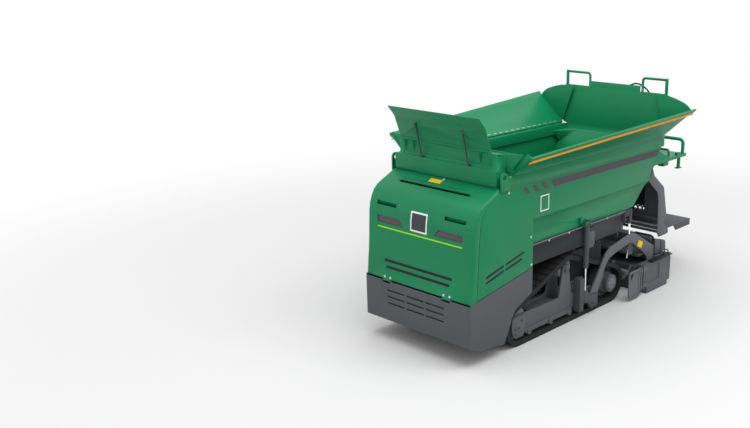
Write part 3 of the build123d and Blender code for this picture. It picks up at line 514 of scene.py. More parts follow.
@dataclass
class Stamps:
    """Copies of one small shape on seats, made by a Geometry Nodes tree with a fixed seed."""
    size: float = 1.0
    turn_spread: float = 0.0
    seed: int = 11

    INPUTS = (("Geometry", "NodeSocketGeometry"), ("Stamp", "NodeSocketObject"), ("Size", "NodeSocketFloat"),
              ("Turn Spread", "NodeSocketFloat"), ("Seed", "NodeSocketInt"), ("Finish", "NodeSocketMaterial"))

    def tree(self) -> NodeTree:
        """The tree that sets a stamp on each point, turned as the point's attribute says.

        Returns:
            The Geometry Nodes tree, made once.
        """
        found = bpy.data.node_groups.get("stamps_on_seats")
        if found:
            return found
        tree = bpy.data.node_groups.new("stamps_on_seats", "GeometryNodeTree")
        for name, kind in self.INPUTS:
            tree.interface.new_socket(name=name, in_out="INPUT", socket_type=kind)
        tree.interface.new_socket(name="Geometry", in_out="OUTPUT", socket_type="NodeSocketGeometry")
        given = add_node(tree, "NodeGroupInput").outputs
        shape = add_node(tree, "GeometryNodeObjectInfo", Object=given["Stamp"])
        facing = add_node(tree, "GeometryNodeInputNamedAttribute", {"data_type": "FLOAT_VECTOR"},
                          Name="facing")
        turned = add_node(tree, "FunctionNodeEulerToRotation", Euler=facing.outputs["Attribute"])
        spread = add_node(tree, "FunctionNodeRandomValue", {"data_type": "FLOAT"}, Min=0.0,
                          Max=given["Turn Spread"], Seed=given["Seed"])
        about = add_node(tree, "ShaderNodeCombineXYZ", Z=spread.outputs[1])
        spin = add_node(tree, "FunctionNodeEulerToRotation", Euler=about.outputs["Vector"])
        both = add_node(tree, "FunctionNodeRotateRotation", {"rotation_space": "LOCAL"},
                        Rotation=turned.outputs["Rotation"], Rotate_By=spin.outputs["Rotation"])
        copies = add_node(tree, "GeometryNodeInstanceOnPoints", Points=given["Geometry"],
                          Instance=shape.outputs["Geometry"], Rotation=both.outputs["Rotation"],
                          Scale=given["Size"])
        real = add_node(tree, "GeometryNodeRealizeInstances", Geometry=copies.outputs["Instances"])
        painted = add_node(tree, "GeometryNodeSetMaterial", Geometry=real.outputs["Geometry"],
                           Material=given["Finish"])
        add_node(tree, "NodeGroupOutput", Geometry=painted.outputs["Geometry"])
        return tree

    def place(self, name: str, stamp: Mesh, seats: Sequence[Seat], finish: Finish,
              body: str = "chassis") -> Object:
        """Sets the stamps and shows them as one plain piece.

        Args:
            name: The piece's name.
            stamp: The small shape, standing along +Z at the origin.
            seats: Where the copies go.
            finish: What they are finished with.
            body: The body that they ride on.

        Returns:
            The piece.
        """
        points = bpy.data.meshes.new(name + "_seats")
        points.from_pydata([at(*seat.place) for seat in seats], [], [])
        facing = points.attributes.new("facing", "FLOAT_VECTOR", "POINT")
        for value, seat in zip(facing.data, seats):
            value.vector = Vector(seat.way.to_track_quat("Z", "Y").to_euler())
        carrier = bpy.data.objects.new(name + "_seats", points)
        shape = bpy.data.objects.new(name + "_stamp", stamp)
        for helper in (carrier, shape):
            show(helper)
        tree = self.tree()
        modifier = carrier.modifiers.new("stamps", "NODES")
        modifier.node_group = tree
        values = {"Stamp": shape, "Size": self.size, "Turn Spread": self.turn_spread, "Seed": self.seed,
                  "Finish": finish.material()}
        for item in tree.interface.items_tree:
            if item.in_out == "INPUT" and item.name in values:
                modifier[item.identifier] = values[item.name]
        graph = bpy.context.evaluated_depsgraph_get()
        made = bpy.data.meshes.new_from_object(carrier.evaluated_get(graph))
        carrier.modifiers.remove(modifier)
        for helper in (carrier, shape):
            bpy.data.objects.remove(helper)
        return place_piece(made, name, finish, body)


def bolt_head(across: float, height: float) -> Mesh:
    """A hexagon head on its washer, standing along +Z at the origin.

    Args:
        across: Width of the head in mm.
        height: Height of the head in mm.

    Returns:
        The mesh.
    """
    form = bmesh.new()
    washer, corner, crown = across * 0.82, across * 0.58, across * 0.5
    sunk, sheet, shoulder = -1.0, 1.4, height * 0.85
    for sides, radius, top_radius, low, high in (
            (20, washer, washer, sunk, sheet), (6, corner, corner, sheet, shoulder),
            (6, corner, crown, shoulder, height)):
        bmesh.ops.create_cone(form, cap_ends=True, segments=sides, radius1=mm(radius), radius2=mm(top_radius),
                              depth=mm(high - low), matrix=Matrix.Translation((0, 0, mm((low + high) / 2))))
    made = bpy.data.meshes.new("bolt_head")
    form.to_mesh(made)
    form.free()
    return made


@dataclass
class BrokenEdges:
    """Copies of plain CAD pieces whose sharp outer edges are broken, as a maker breaks them."""
    width: float = 1.6
    least_edge: float = 9.0
    least_angle: float = 35.0
    flat_angle: float = 0.5
    weld: float = 1e-5
    volume_shares: Pair = (0.9, 1.001)
    skipped: tuple[str, ...] = ("auger", "power_pack", "rear_guard", "track_left", "track_right",
                                "rollers_left", "rollers_right", "conveyor")

    def build(self) -> None:
        """Stands a copy with broken edges in for each CAD piece that allows it."""
        for row in frame["record"]["subparts"]:
            if row["node"] not in self.skipped:
                self.stand_in(row)

    def stand_in(self, row: dict) -> None:
        """Replaces one CAD piece, if its copy stays closed and keeps its volume."""
        node = frame["nodes"][row["node"]]
        form = bmesh.new()
        form.from_mesh(node.data)
        bmesh.ops.remove_doubles(form, verts=form.verts, dist=self.weld)
        volume = form.calc_volume()
        bmesh.ops.dissolve_limit(form, angle_limit=math.radians(self.flat_angle), verts=form.verts,
                                 edges=form.edges)
        sharp = [edge for edge in form.edges if len(edge.link_faces) == 2 and edge.is_convex
                 and edge.calc_length() > mm(self.least_edge)
                 and edge.calc_face_angle() > math.radians(self.least_angle)]
        bmesh.ops.bevel(form, geom=sharp, offset=mm(self.width), segments=2, profile=0.5, affect="EDGES",
                        clamp_overlap=True)
        closed = all(len(edge.link_faces) == 2 for edge in form.edges)
        share = form.calc_volume() / volume
        if not closed or not self.volume_shares[0] < share < self.volume_shares[1]:
            LOG.info("piece %s keeps its plain edges: closed %s, volume %.4f", row["node"], closed, share)
            form.free()
            return
        bmesh.ops.triangulate(form, faces=[face for face in form.faces if len(face.verts) > 4])
        mesh = bpy.data.meshes.new(row["node"] + ".edges")
        form.to_mesh(mesh)
        form.free()
        LOG.info("piece %s: %d sharp edges broken, volume %.4f", row["node"], len(sharp), share)
        piece = place_piece(mesh, row["node"] + ".edges", finish_of(row), body_of(node)[0])
        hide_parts(row["node"])


def dress_nodes() -> None:
    """Gives each CAD node its finish."""
    for row in frame["record"]["subparts"]:
        piece = frame["nodes"][row["node"]]
        piece.data.materials.clear()
        piece.data.materials.append(finish_of(row).material())


def frame_bars(across: Pair, heights: Pair, line: float) -> list[tuple[Pair, Pair]]:
    """The four bars of a frame.

    Args:
        across: Where the frame starts and ends across.
        heights: Where it starts and ends upwards.
        line: Width of its bars.

    Returns:
        Each bar's extent across and its heights.
    """
    (start, end), (low, high) = across, heights
    inner = (start + line, end - line)
    return [((start, start + line), heights), ((end - line, end), heights), (inner, (low, low + line)),
            (inner, (high - line, high))]


@dataclass
class Skirt:
    """The wrap round the nose: the blades set in its louvres."""
    louvre_heights: tuple[float, ...] = (374, 328, 282)
    columns: tuple[float, ...] = (-183, 0, 183)
    blade_length: float = 151
    blade_section: Outline = ((7.2, -0.6), (-1.05, -4.6), (-1.05, -6.1), (7.2, -2.85))

    def build(self) -> None:
        """Sets one pressed blade in each louvre, open along its lower edge."""
        blade = Form().stamp(self.blade_section, self.blade_length)
        seats = [Seat((0, column, height), Vector((1, 0, 0)))
                 for height in self.louvre_heights for column in self.columns]
        Stamps().place("louvre_blades", blade.data("louvre_blade"), seats, GREY)


@dataclass
class Hood:
    """The tilting hood lid: its films, plate, grip pockets, top lip, label, lock, screens and screws."""
    profile: Outline = ((14, 443), (36, 668), (47, 890), (56, 945), (74, 995), (97, 1036), (128, 1065),
                        (180, 1092), (238, 1118), (296, 1148))
    film: float = 0.7
    sunk: float = 0.5
    lime_heights: Pair = (795, 804)
    lime_half: float = 389
    plate_half: float = 76
    plate_heights: Pair = (823, 957)
    plate_frame: float = 11
    slots: tuple[Pair, ...] = ((312, 575), (292, 530))
    screen_half: float = 9
    screen_overlap: float = 2
    screw_widths: tuple[float, ...] = (-304, -250, 250, 304)
    screw_height: float = 457
    screw_way: Point = (1, 0, 0.1)
    grip_heights: Pair = (948, 974)
    grip_widths: Pair = (222, 408)
    pocket_margin: float = 3
    # The pocket's corners: which grip height, how far behind the lid's face there, how far above it
    pocket: tuple[Corner, ...] = ((1, 3.5, 3), (0, 24, -2), (0, 28, -2), (1, 12, 3))
    lip_stations: Pair = (207, 236)
    lip_widths: Pair = (-335, 315)
    lip_ends: Pair = (-372, 372)
    lip_sheet: float = 4.5
    # The lip's corners: which station, how far behind it, how far above the lid there
    lip: tuple[Corner, ...] = ((0, 0, -0.5), (0, 0, 5), (0, 7, 8), (1, 0, 1.5), (1, 0, -0.5))
    # The corners of its ends: whether it is the outer edge, the station, how far above the lid there
    lip_end: tuple[Corner, ...] = ((0, 207, 4), (1, 193, 0.6), (1, 236, 0.6), (0, 236, 1.5))
    label_stations: Pair = (241, 272)
    label_widths: Pair = (-97, 10)
    label: tuple[Corner, ...] = ((0, 0, 1.2), (1, 0, 1.2), (1, 0, -0.5), (0, 0, -0.5))
    lock_place: Pair = (284, 8)
    lock_way: Point = (30, 0, 58)
    lock_profile: Outline = ((11, -2), (11, 2.5), (9.5, 3.5), (4, 3.5), (3.5, 1.5))

    def station(self, height: float) -> float:
        """The station of the lid's outer face at a height."""
        for (one, low), (other, high) in zip(self.profile, self.profile[1:]):
            if height <= high:
                return one + (other - one) * (height - low) / (high - low)
        return self.profile[-1][0]

    def height(self, station: float) -> float:
        """The height of the lid's outer face at a station."""
        for (one, low), (other, high) in zip(self.profile, self.profile[1:]):
            if station <= other:
                return low + (high - low) * (station - one) / (other - one)
        return self.profile[-1][1]

    def section(self, stations: Pair, corners: Sequence[Corner]) -> list[Pair]:
        """A section over the lid, from rows of which station, how far behind it and above the lid there."""
        return [(stations[end] + behind, self.height(stations[end]) + above)
                for end, behind, above in corners]

    def film_band(self, form: Form, widths: Pair, heights: Pair) -> None:
        """Adds a thin film that follows the lid between two heights.

        Args:
            form: The form that gets it.
            widths: Its two side edges.
            heights: Its lower and its upper edge.
        """
        low, high = heights
        bends = [low] + [z for _, z in self.profile if low < z < high] + [high]
        front = [(self.station(z) - self.film, z) for z in bends]
        back = [(self.station(z) + self.sunk, z) for z in bends[::-1]]
        form.side(front + back, widths[0], widths[1] - widths[0])

    def build(self) -> None:
        """Makes the lid's trim."""
        lime = Form()
        self.film_band(lime, (-self.lime_half, self.lime_half), self.lime_heights)
        lime.done("lime_line", LIME, "hood")
        self.add_plate()
        self.add_label()
        self.add_lock()
        self.add_pockets()
        self.add_lip()
        self.add_screens()
        screws = [Seat((self.station(self.screw_height), y, self.screw_height), Vector(self.screw_way))
                  for y in self.screw_widths]
        Stamps().place("hood_hinge_screws", bolt_head(*SCREW_HEAD), screws, ZINC, "hood")

    def add_plate(self) -> None:
        """Makes the blank plate over the lime line: a white frame round a slate field."""
        half, edge = self.plate_half, self.plate_frame
        low, high = self.plate_heights
        bands = Form()
        for widths, heights in frame_bars((-half, half), (low, high), edge):
            self.film_band(bands, widths, heights)
        bands.done("blank_plate_frame", WHITE, "hood")
        middle = Form()
        self.film_band(middle, (edge - half, half - edge), (low + edge, high - edge))
        middle.done("blank_plate_field", SLATE, "hood")

    def add_label(self) -> None:
        """Makes the blank yellow label on the lid's top."""
        right, left = self.label_widths
        label = Form().side(self.section(self.label_stations, self.label), right, left - right)
        label.done("hood_label", YELLOW, "hood")

    def add_lock(self) -> None:
        """Makes the round lock behind the label, square to the lid's top."""
        station, y = self.lock_place
        lock = Form().lathe((station, y, self.height(station)), Vector(self.lock_way), self.lock_profile)
        lock.done("hood_lock", ZINC, "hood")

    def add_pockets(self) -> None:
        """Makes the sloped plate of the pocket behind each grip."""
        heights, (inner, outer) = self.grip_heights, self.grip_widths
        outline = [(self.station(heights[edge]) + behind, heights[edge] + above)
                   for edge, behind, above in self.pocket]
        pockets = Form().side(outline, inner - self.pocket_margin, outer - inner + 2 * self.pocket_margin)
        pockets.both_sides().done("grip_pockets", GREEN, "hood")

    def add_lip(self) -> None:
        """Makes the pressed lip across the lid's top, whose two ends run out flat."""
        right, left = self.lip_widths
        lip = Form().side(self.section(self.lip_stations, self.lip), right, left - right, SHEET_EDGE)
        for edges in ((left, self.lip_ends[1]), (right, self.lip_ends[0])):
            lip.prism([(station, edges[outer], self.height(station) + above)
                       for outer, station, above in self.lip_end], (0, 0, -self.lip_sheet))
        lip.done("hood_top_lip", GREEN, "hood")

    def add_screens(self) -> None:
        """Makes the black mesh screens over the lid's two slots."""
        screens = Form()
        for half, height in self.slots:
            reach = half + self.screen_overlap
            self.film_band(screens, (-reach, reach), (height - self.screen_half, height + self.screen_half))
        screens.done("hood_slot_screens", HOSE, "hood")


@dataclass
class Sides:
    """The hopper's side panels: stripe, blank sign, screws, slot screens, edge trim and hose brackets."""
    film: float = 0.8
    sunk: float = 0.4
    stripe_heights: Pair = (1066, 1117)
    # Stations of each stripe's corners: upper front, lower front, lower rear, upper rear
    stripes: tuple[tuple[float, float, float, float], ...] = (
        (519, 572, 609, 560), (616, 662, 707, 658), (712, 759, 806, 757), (823, 858, 2204, 2250))
    sign_stations: Pair = (714, 808)
    sign_heights: Pair = (916, 1028)
    sign_line: float = 8
    panel_screws: Outline = ((378, 1111), (615, 762), (625, 566))
    lip_screws: Outline = ((839, 687), (1073, 690), (1314, 693), (1560, 693))
    lip_inset: float = 16
    # Lower edge of each slot: its front and its rear end
    slots: tuple[tuple[Pair, Pair], ...] = (((157, 585), (333, 626)), ((357, 628), (541, 669)),
                                            ((157, 549), (332, 591)), ((352, 592), (521, 628)))
    slot_rise: float = 11
    screen_end: float = 2
    screen_edge: float = 2.5
    screen_sheet: float = 1.6
    screen_sunk: float = 1
    trim_box: Box = ((648, 1796), (477.5, 480.5), (693, 699.5))
    trim_edge: float = 0.8
    bracket_box: Box = ((1199, 1226), (464.7, 487), (728, 768))
    bracket_edge: float = 1.5

    def build(self) -> None:
        """Makes the trim of both sides."""
        low, high = self.stripe_heights
        stripe = Form()
        for top_front, low_front, low_rear, top_rear in self.stripes:
            stripe.side([(top_front, high), (low_front, low), (low_rear, low), (top_rear, high)],
                        HALF_WIDTH - self.sunk, self.film + self.sunk)
        stripe.both_sides().done("side_stripes", MAUVE)
        self.add_sign()
        self.add_screws()
        self.add_slot_screens()
        Form().box(*self.trim_box, self.trim_edge).both_sides().done("panel_trim", PALE_STRIP)
        Form().box(*self.bracket_box, self.bracket_edge).both_sides().done("hose_brackets", GREEN)

    def add_sign(self) -> None:
        """Makes the blank sign on each side: the outline of a square."""
        sign = Form()
        for stations, heights in frame_bars(self.sign_stations, self.sign_heights, self.sign_line):
            sign.box(stations, (HALF_WIDTH - self.sunk, HALF_WIDTH + self.film), heights)
        sign.both_sides().done("blank_signs", WHITE)

    def add_screws(self) -> None:
        """Sets the zinc screws along the panels and on the lip over the tracks."""
        seats = []
        for side in (1, -1):
            for screws, inset in ((self.panel_screws, 0), (self.lip_screws, self.lip_inset)):
                y = side * (HALF_WIDTH - inset)
                seats += [Seat((station, y, z), LEFT * side) for station, z in screws]
        Stamps(turn_spread=1.0).place("side_screws", bolt_head(*SCREW_HEAD), seats, ZINC)

    def add_slot_screens(self) -> None:
        """Makes the black mesh screens over the side panels' slots."""
        screens = Form()
        top = self.slot_rise + self.screen_edge
        for (front, low), (rear, high) in self.slots:
            start, end = front - self.screen_end, rear + self.screen_end
            screens.side([(start, low - self.screen_edge), (end, high - self.screen_edge), (end, high + top),
                          (start, low + top)], HALF_WIDTH - self.screen_sunk, self.screen_sheet)
        screens.both_sides().done("slot_screens", HOSE)


@dataclass
class Wings:
    """The hinged wings: the amber lip under each rim, and pale dashes along the hinge that are painted
    highlights.
    """
    hinge_height: float = 1222
    slope: float = 42
    front: float = 412
    front_width: float = 205
    growth: float = 147 / 1886
    rim: float = 34
    rim_face: float = 14
    # The lip's corners: station and distance below the rim's edge
    lip: Outline = ((442, 0), (2285, 0), (2285, 15), (402, 15))
    lip_sheet: float = 3
    lip_shift: Pair = (0.4, 0.5)
    # Pale zinc dashes along the hinge, painted highlights for its glints: their length, pitch, rise, start,
    # count and section
    glint_length: float = 34
    glint_pitch: float = 72
    glint_rise: float = 14
    glint_start: float = 467
    glint_count: int = 25
    glint_section: Outline = ((-4, -1), (4, -1), (3, 2.4), (-3, 2.4))

    def width(self, station: float) -> float:
        """The wing's width up its slope at a station."""
        return self.front_width + self.growth * (station - self.front)

    def place(self, station: float, rise: float, out: float) -> Point:
        """A point on the wing.

        Args:
            station: Its station.
            rise: Distance up the slope from the hinge.
            out: Distance outwards from the inner face.

        Returns:
            The point as (station, y, z).
        """
        turn = math.radians(self.slope)
        return (station, HALF_WIDTH + rise * math.cos(turn) + out * math.sin(turn),
                self.hinge_height + rise * math.sin(turn) - out * math.cos(turn))

    def build(self) -> None:
        """Makes each wing's amber lip and the painted highlights along its hinge."""
        for name, side in (("wing_left", 1), ("wing_right", -1)):
            self.add_lip(name, side)
            self.add_knuckles(name, side)

    def add_lip(self, name: str, side: int) -> None:
        """Makes the lip that hangs from the rim's lower edge, cut to a point at its front end."""
        outline = []
        for station, down in self.lip:
            _, y, z = self.place(station, self.width(station) - self.rim, self.rim_face)
            outline.append((station, side * (y + self.lip_shift[0]), z - down + self.lip_shift[1]))
        Form().prism(outline, (0, -side * self.lip_sheet, 0)).done(name + "_lip", AMBER, name)

    def add_knuckles(self, name: str, side: int) -> None:
        """Sets pale zinc dashes along the foot of the wing's inner face: painted highlights that stand for
        the glints along the hinge.
        """
        hinge_glint = Form().stamp(self.glint_section, self.glint_length)
        turn = math.radians(self.slope)
        inwards = Vector((0, -side * math.sin(turn), math.cos(turn)))
        seats = []
        for index in range(self.glint_count):
            along = self.glint_start + index * self.glint_pitch
            station, y, z = self.place(along, self.glint_rise, 0)
            seats.append(Seat((station, side * y, z), inwards))
        Stamps().place(name + "_knuckles", hinge_glint.data("hinge_glint"), seats, ZINC, name)


@dataclass
class Tracks:
    """The tracks' frames: hub caps, roller guards and bolts."""
    hub_station: float = 1645
    hub_height: float = 156
    hub_face: float = 482
    circle: float = 54
    count: int = 10
    frame_face: float = 453
    sunk: float = 0.5
    roller_stations: tuple[float, ...] = (650, 896, 1120)
    roller_height: float = 66
    top_boss: Pair = (1080, 408)
    strip_stations: Pair = (600, 1160)
    strip_heights: Pair = (62, 96)
    strip_sheet: float = 5.5
    # The ear that hangs below the strip at each roller, from the roller's station
    ear: Outline = ((34, 62), (22, 50), (-22, 50), (-34, 62))
    boss_profile: Outline = ((23, -1), (21, 14), (17, 17), (9, 17), (8, 14))
    idler_cover: Outline = ((455, 122), (455, 196), (475, 212), (600, 207), (600, 92), (575, 58), (500, 58),
                            (470, 78))
    cover_sheet: float = 15
    hub_bolt: Pair = (9, 4)
    cover_bolt: Pair = (13, 5)
    cover_bolts: Outline = ((492, 132), (532, 128), (492, 92), (560, 180))
    cap_sides: int = 40
    cap_profile: Outline = ((46, -1), (46, 3), (43, 4.5), (36, 4.5), (34.5, 2.5), (27, 2.5),
                            (25, 5), (12, 5), (10, 7))

    def build(self) -> None:
        """Makes the hub caps with their bolts, and the guards of the rollers."""
        for name, side in (("left", 1), ("right", -1)):
            seats = []
            for index in range(self.count):
                turn = 2 * math.pi * (index + 0.5) / self.count
                seats.append(Seat((self.hub_station + self.circle * math.cos(turn), side * self.hub_face,
                                   self.hub_height + self.circle * math.sin(turn)), LEFT * side))
            Stamps(turn_spread=1.0).place("hub_bolts_" + name, bolt_head(*self.hub_bolt), seats, CASTING)
        hub = (self.hub_station, self.hub_face, self.hub_height)
        caps = Form().lathe(hub, LEFT, self.cap_profile, self.cap_sides)
        caps.both_sides().done("hub_caps", CASTING)
        self.add_roller_guards()
        self.add_cover_bolts()

    def add_roller_guards(self) -> None:
        """Makes the guard strip over the rollers, their bosses and the plate over the idler's axle."""
        (front, rear), (low, high) = self.strip_stations, self.strip_heights
        strip = [(front, high), (rear, high), (rear, low)]
        for station in self.roller_stations[::-1]:
            strip += [(station + offset, z) for offset, z in self.ear]
        inner = self.frame_face - self.sunk
        guards = Form().side(strip, inner, self.strip_sheet, SHEET_EDGE)
        guards.side(self.idler_cover, inner, self.cover_sheet, PLATE_EDGE)
        bosses = [(station, self.roller_height) for station in self.roller_stations]
        for station, z in (*bosses, self.top_boss):
            guards.lathe((station, self.frame_face, z), LEFT, self.boss_profile)
        guards.both_sides().done("roller_guards", CAST_DARK)

    def add_cover_bolts(self) -> None:
        """Sets the bolts of the plates over the idlers' axles."""
        face = self.frame_face - self.sunk + self.cover_sheet
        seats = [Seat((station, side * face, z), LEFT * side)
                 for side in (1, -1) for station, z in self.cover_bolts]
        Stamps(turn_spread=1.0).place("cover_bolts", bolt_head(*self.cover_bolt), seats, DARK)


@dataclass
class Tow:
    """The tow cylinders' polished rods and the brackets that hold them."""
    station: float = 1256
    y: float = 500
    radius: float = 7.15
    low: float = 208.5
    high: float = 492
    bracket_face: float = 474
    bracket_sheet: float = 24
    bracket: Outline = ((1270, 646), (1352, 646), (1368, 626), (1368, 548), (1345, 526), (1270, 526))

    def build(self) -> None:
        """Sleeves the sliders' rods in chrome and makes the brackets behind them."""
        rods = Form().lathe((self.station, self.y, 0), Vector((0, 0, 1)),
                            ((self.radius, self.low), (self.radius, self.high)))
        rods.both_sides().done("tow_rods", CHROME, "tow_sliders")
        plate = Form().side(self.bracket, self.bracket_face, self.bracket_sheet, PLATE_EDGE)
        plate.both_sides().done("tow_brackets", CAST_DARK)


@dataclass
class Screed:
    """The screed's plates, end boxes, stubs and hoses, and the blank label on each arm."""
    arm_face: float = 495
    film: float = 0.8
    sunk: float = 0.4
    label_middle: Pair = (2012, 388)
    label_size: Pair = (70, 50)
    label_tilt: float = 24
    # Inner face, thickness and outline of each plate
    cover_plates: tuple[tuple[float, float, Outline], ...] = (
        (479.5, 3, ((2203, 262), (2237, 262), (2237, 376), (2218, 376))),
        (419.5, 4, ((2246, 256), (2266, 256), (2266, 377), (2246, 377))),
        (419.5, 4, ((2272, 256), (2294, 256), (2294, 370), (2286, 377), (2272, 377))))
    end_face: float = 467
    end_depth: float = 36
    end_boxes: tuple[Outline, ...] = (
        ((2232, 251), (2232, 366), (2244, 377), (2304, 361), (2312, 352), (2316, 251)),
        ((2324, 251), (2322, 350), (2330, 354), (2384, 338), (2394, 326), (2402, 272), (2396, 251)))
    end_core: Box = ((2236, 2392), (470, 495), (254, 332))
    stub: Path = ((1893, 465, 400), (1868, 465, 300))
    stub_radius: float = 5
    strip_stations: Pair = (2070, 2374)
    strip_widths: Pair = (538, 586)
    strip_heights: Pair = (243.4, 247.5)
    # Station and width of each hose's start, its heights there, and the way that all of them share
    hose_starts: tuple[Pair, ...] = ((2214, 330), (2228, 300))
    hose_heights: Pair = (381.5, 404)
    hose_lead: float = 10
    hose_way: Path = ((0, 462, 406), (0, 489, 392), (2, 490, 300), (2, 482, 286))
    hose_bend: float = 22
    hose_radius: float = 5.6
    grip: Path = ((2340, 528, 243), (2340, 528, 274), (2352, 556, 274), (2352, 556, 243))
    grip_bend: float = 16
    grip_radius: float = 4.5

    def build(self) -> None:
        """Makes the screed's trim."""
        self.add_label()
        self.add_boxes()
        Form().tube(self.stub, self.stub_radius).both_sides().done("lift_stubs", CHROME, "screed")
        self.add_strips()
        self.add_hoses()

    def add_label(self) -> None:
        """Makes the blank yellow label on each arm, in line with the arm's slope."""
        turn = math.radians(self.label_tilt)
        outline = []
        for along, up in ((-1, -1), (1, -1), (1, 1), (-1, 1)):
            a, b = along * self.label_size[0] / 2, up * self.label_size[1] / 2
            outline.append((self.label_middle[0] + a * math.cos(turn) + b * math.sin(turn),
                            self.label_middle[1] - a * math.sin(turn) + b * math.cos(turn)))
        label = Form().side(outline, self.arm_face - self.sunk, self.film + self.sunk)
        label.both_sides().done("arm_labels", YELLOW, "screed")

    def add_boxes(self) -> None:
        """Makes the plates on the cover's ends, and the boxes that carry the extensions' guides."""
        plates = Form()
        for face, sheet, outline in self.cover_plates:
            plates.side(outline, face, sheet, SHEET_EDGE)
        plates.both_sides().done("screed_cover_plates", DARK, "screed")
        boxes = Form()
        for outline in self.end_boxes:
            boxes.side(outline, self.end_face, self.end_depth, PLATE_EDGE)
        boxes.box(*self.end_core)
        boxes.both_sides().done("screed_end_boxes", CAST_DARK, "screed")

    def add_strips(self) -> None:
        """Makes the rubber strip on top of each extension."""
        for name, side in EXTENSIONS:
            widths = sorted(side * y for y in self.strip_widths)
            strip = Form().box(self.strip_stations, widths, self.strip_heights, SHEET_EDGE)
            strip.done(name + "_strip", HOSE, name)

    def add_hoses(self) -> None:
        """Makes the hoses over the cover's ends, held at both ends, and each extension's grip."""
        hoses = Form()
        foot, top = self.hose_heights
        for station, y in self.hose_starts:
            shared = [(station + behind, width, z) for behind, width, z in self.hose_way]
            path = [(station, y, foot), (station, y + self.hose_lead, top)] + shared
            hoses.tube(rounded(path, self.hose_bend), self.hose_radius)
        hoses.both_sides().done("screed_hoses", HOSE, "screed")
        for name, side in EXTENSIONS:
            path = rounded([(station, side * y, z) for station, y, z in self.grip], self.grip_bend)
            Form().tube(path, self.grip_radius).done(name + "_grip", HOSE, name)


@dataclass
class Rear:
    """The rear wall's raised middle, the hose behind it, the sheets at the guard and the hood's seal."""
    hose_way: Path = ((2340, 40, 1440), (2352, 44, 1506), (2358, 100, 1566), (2358, 183, 1601),
                                   (2358, 265, 1570), (2352, 330, 1506), (2340, 336, 1440))
    hose_radius: float = 6.5
    hose_bend: float = 60
    hose_steps: int = 8
    hose_sides: int = 14
    fitting_widths: Pair = (40, 336)
    fitting_half: float = 11
    fitting_stations: Pair = (2318, 2350)
    fitting_heights: Pair = (1426, 1452)
    lip_half: float = 240
    lip_section: Outline = ((2316.5, 1530), (2316.5, 1541), (2324, 1583), (2328, 1583),
                            (2321.5, 1541), (2321.5, 1530))
    lining_face: float = 2344
    lining_sheet: float = 3
    # The lining's outer bend and top edge, which follow the guard, and the same on its inner face
    lining_outer: Outline = ((2344, 764), (2217, 866))
    lining_inner: Outline = ((2215, 864), (2341, 763))
    lining_low: float = 602
    lining_half: float = 320
    foot_low: float = 560
    foot_half: float = 225
    end_width: float = 130
    seal_box: Box = ((302, 306), (-470, 470), (1112, 1156))

    def build(self) -> None:
        """Makes the rear's sheets and hose; both ends of the hose are held in a fitting on the wall."""
        path = rounded(self.hose_way, self.hose_bend, self.hose_steps)
        hose = Form().tube(path, self.hose_radius, self.hose_sides)
        hose.done("wall_hose", HOSE)
        fittings = Form()
        for y in self.fitting_widths:
            fittings.box(self.fitting_stations, (y - self.fitting_half, y + self.fitting_half),
                         self.fitting_heights, PLATE_EDGE)
        fittings.done("wall_hose_fittings", DARK)
        lip = Form().side(self.lip_section, -self.lip_half, 2 * self.lip_half, SHEET_EDGE)
        lip.done("rear_wall_lip", GREEN)
        self.add_linings()
        Form().box(*self.seal_box).done("hood_gap_seal", GREEN)

    def add_linings(self) -> None:
        """Makes the dark sheet behind the guard's middle, its narrower foot and a paler sheet at each end."""
        middle = Form().side(self.lining_section(self.lining_low), -self.lining_half, 2 * self.lining_half)
        middle.done("guard_lining", HOSE)
        outer, inner = self.lining_face, self.lining_face - self.lining_sheet
        section = [(outer, self.foot_low), (outer, self.lining_low), (inner, self.lining_low),
                   (inner, self.foot_low)]
        Form().side(section, -self.foot_half, 2 * self.foot_half).done("guard_foot_lining", HOSE)
        ends = Form().side(self.lining_section(self.foot_low), self.lining_half, self.end_width)
        ends.both_sides().done("guard_end_linings", DARK)

    def lining_section(self, low: float) -> list[Pair]:
        """The lining's section from its lower edge up."""
        outer, inner = (self.lining_face, low), (self.lining_face - self.lining_sheet, low)
        return [outer, *self.lining_outer, *self.lining_inner, inner]


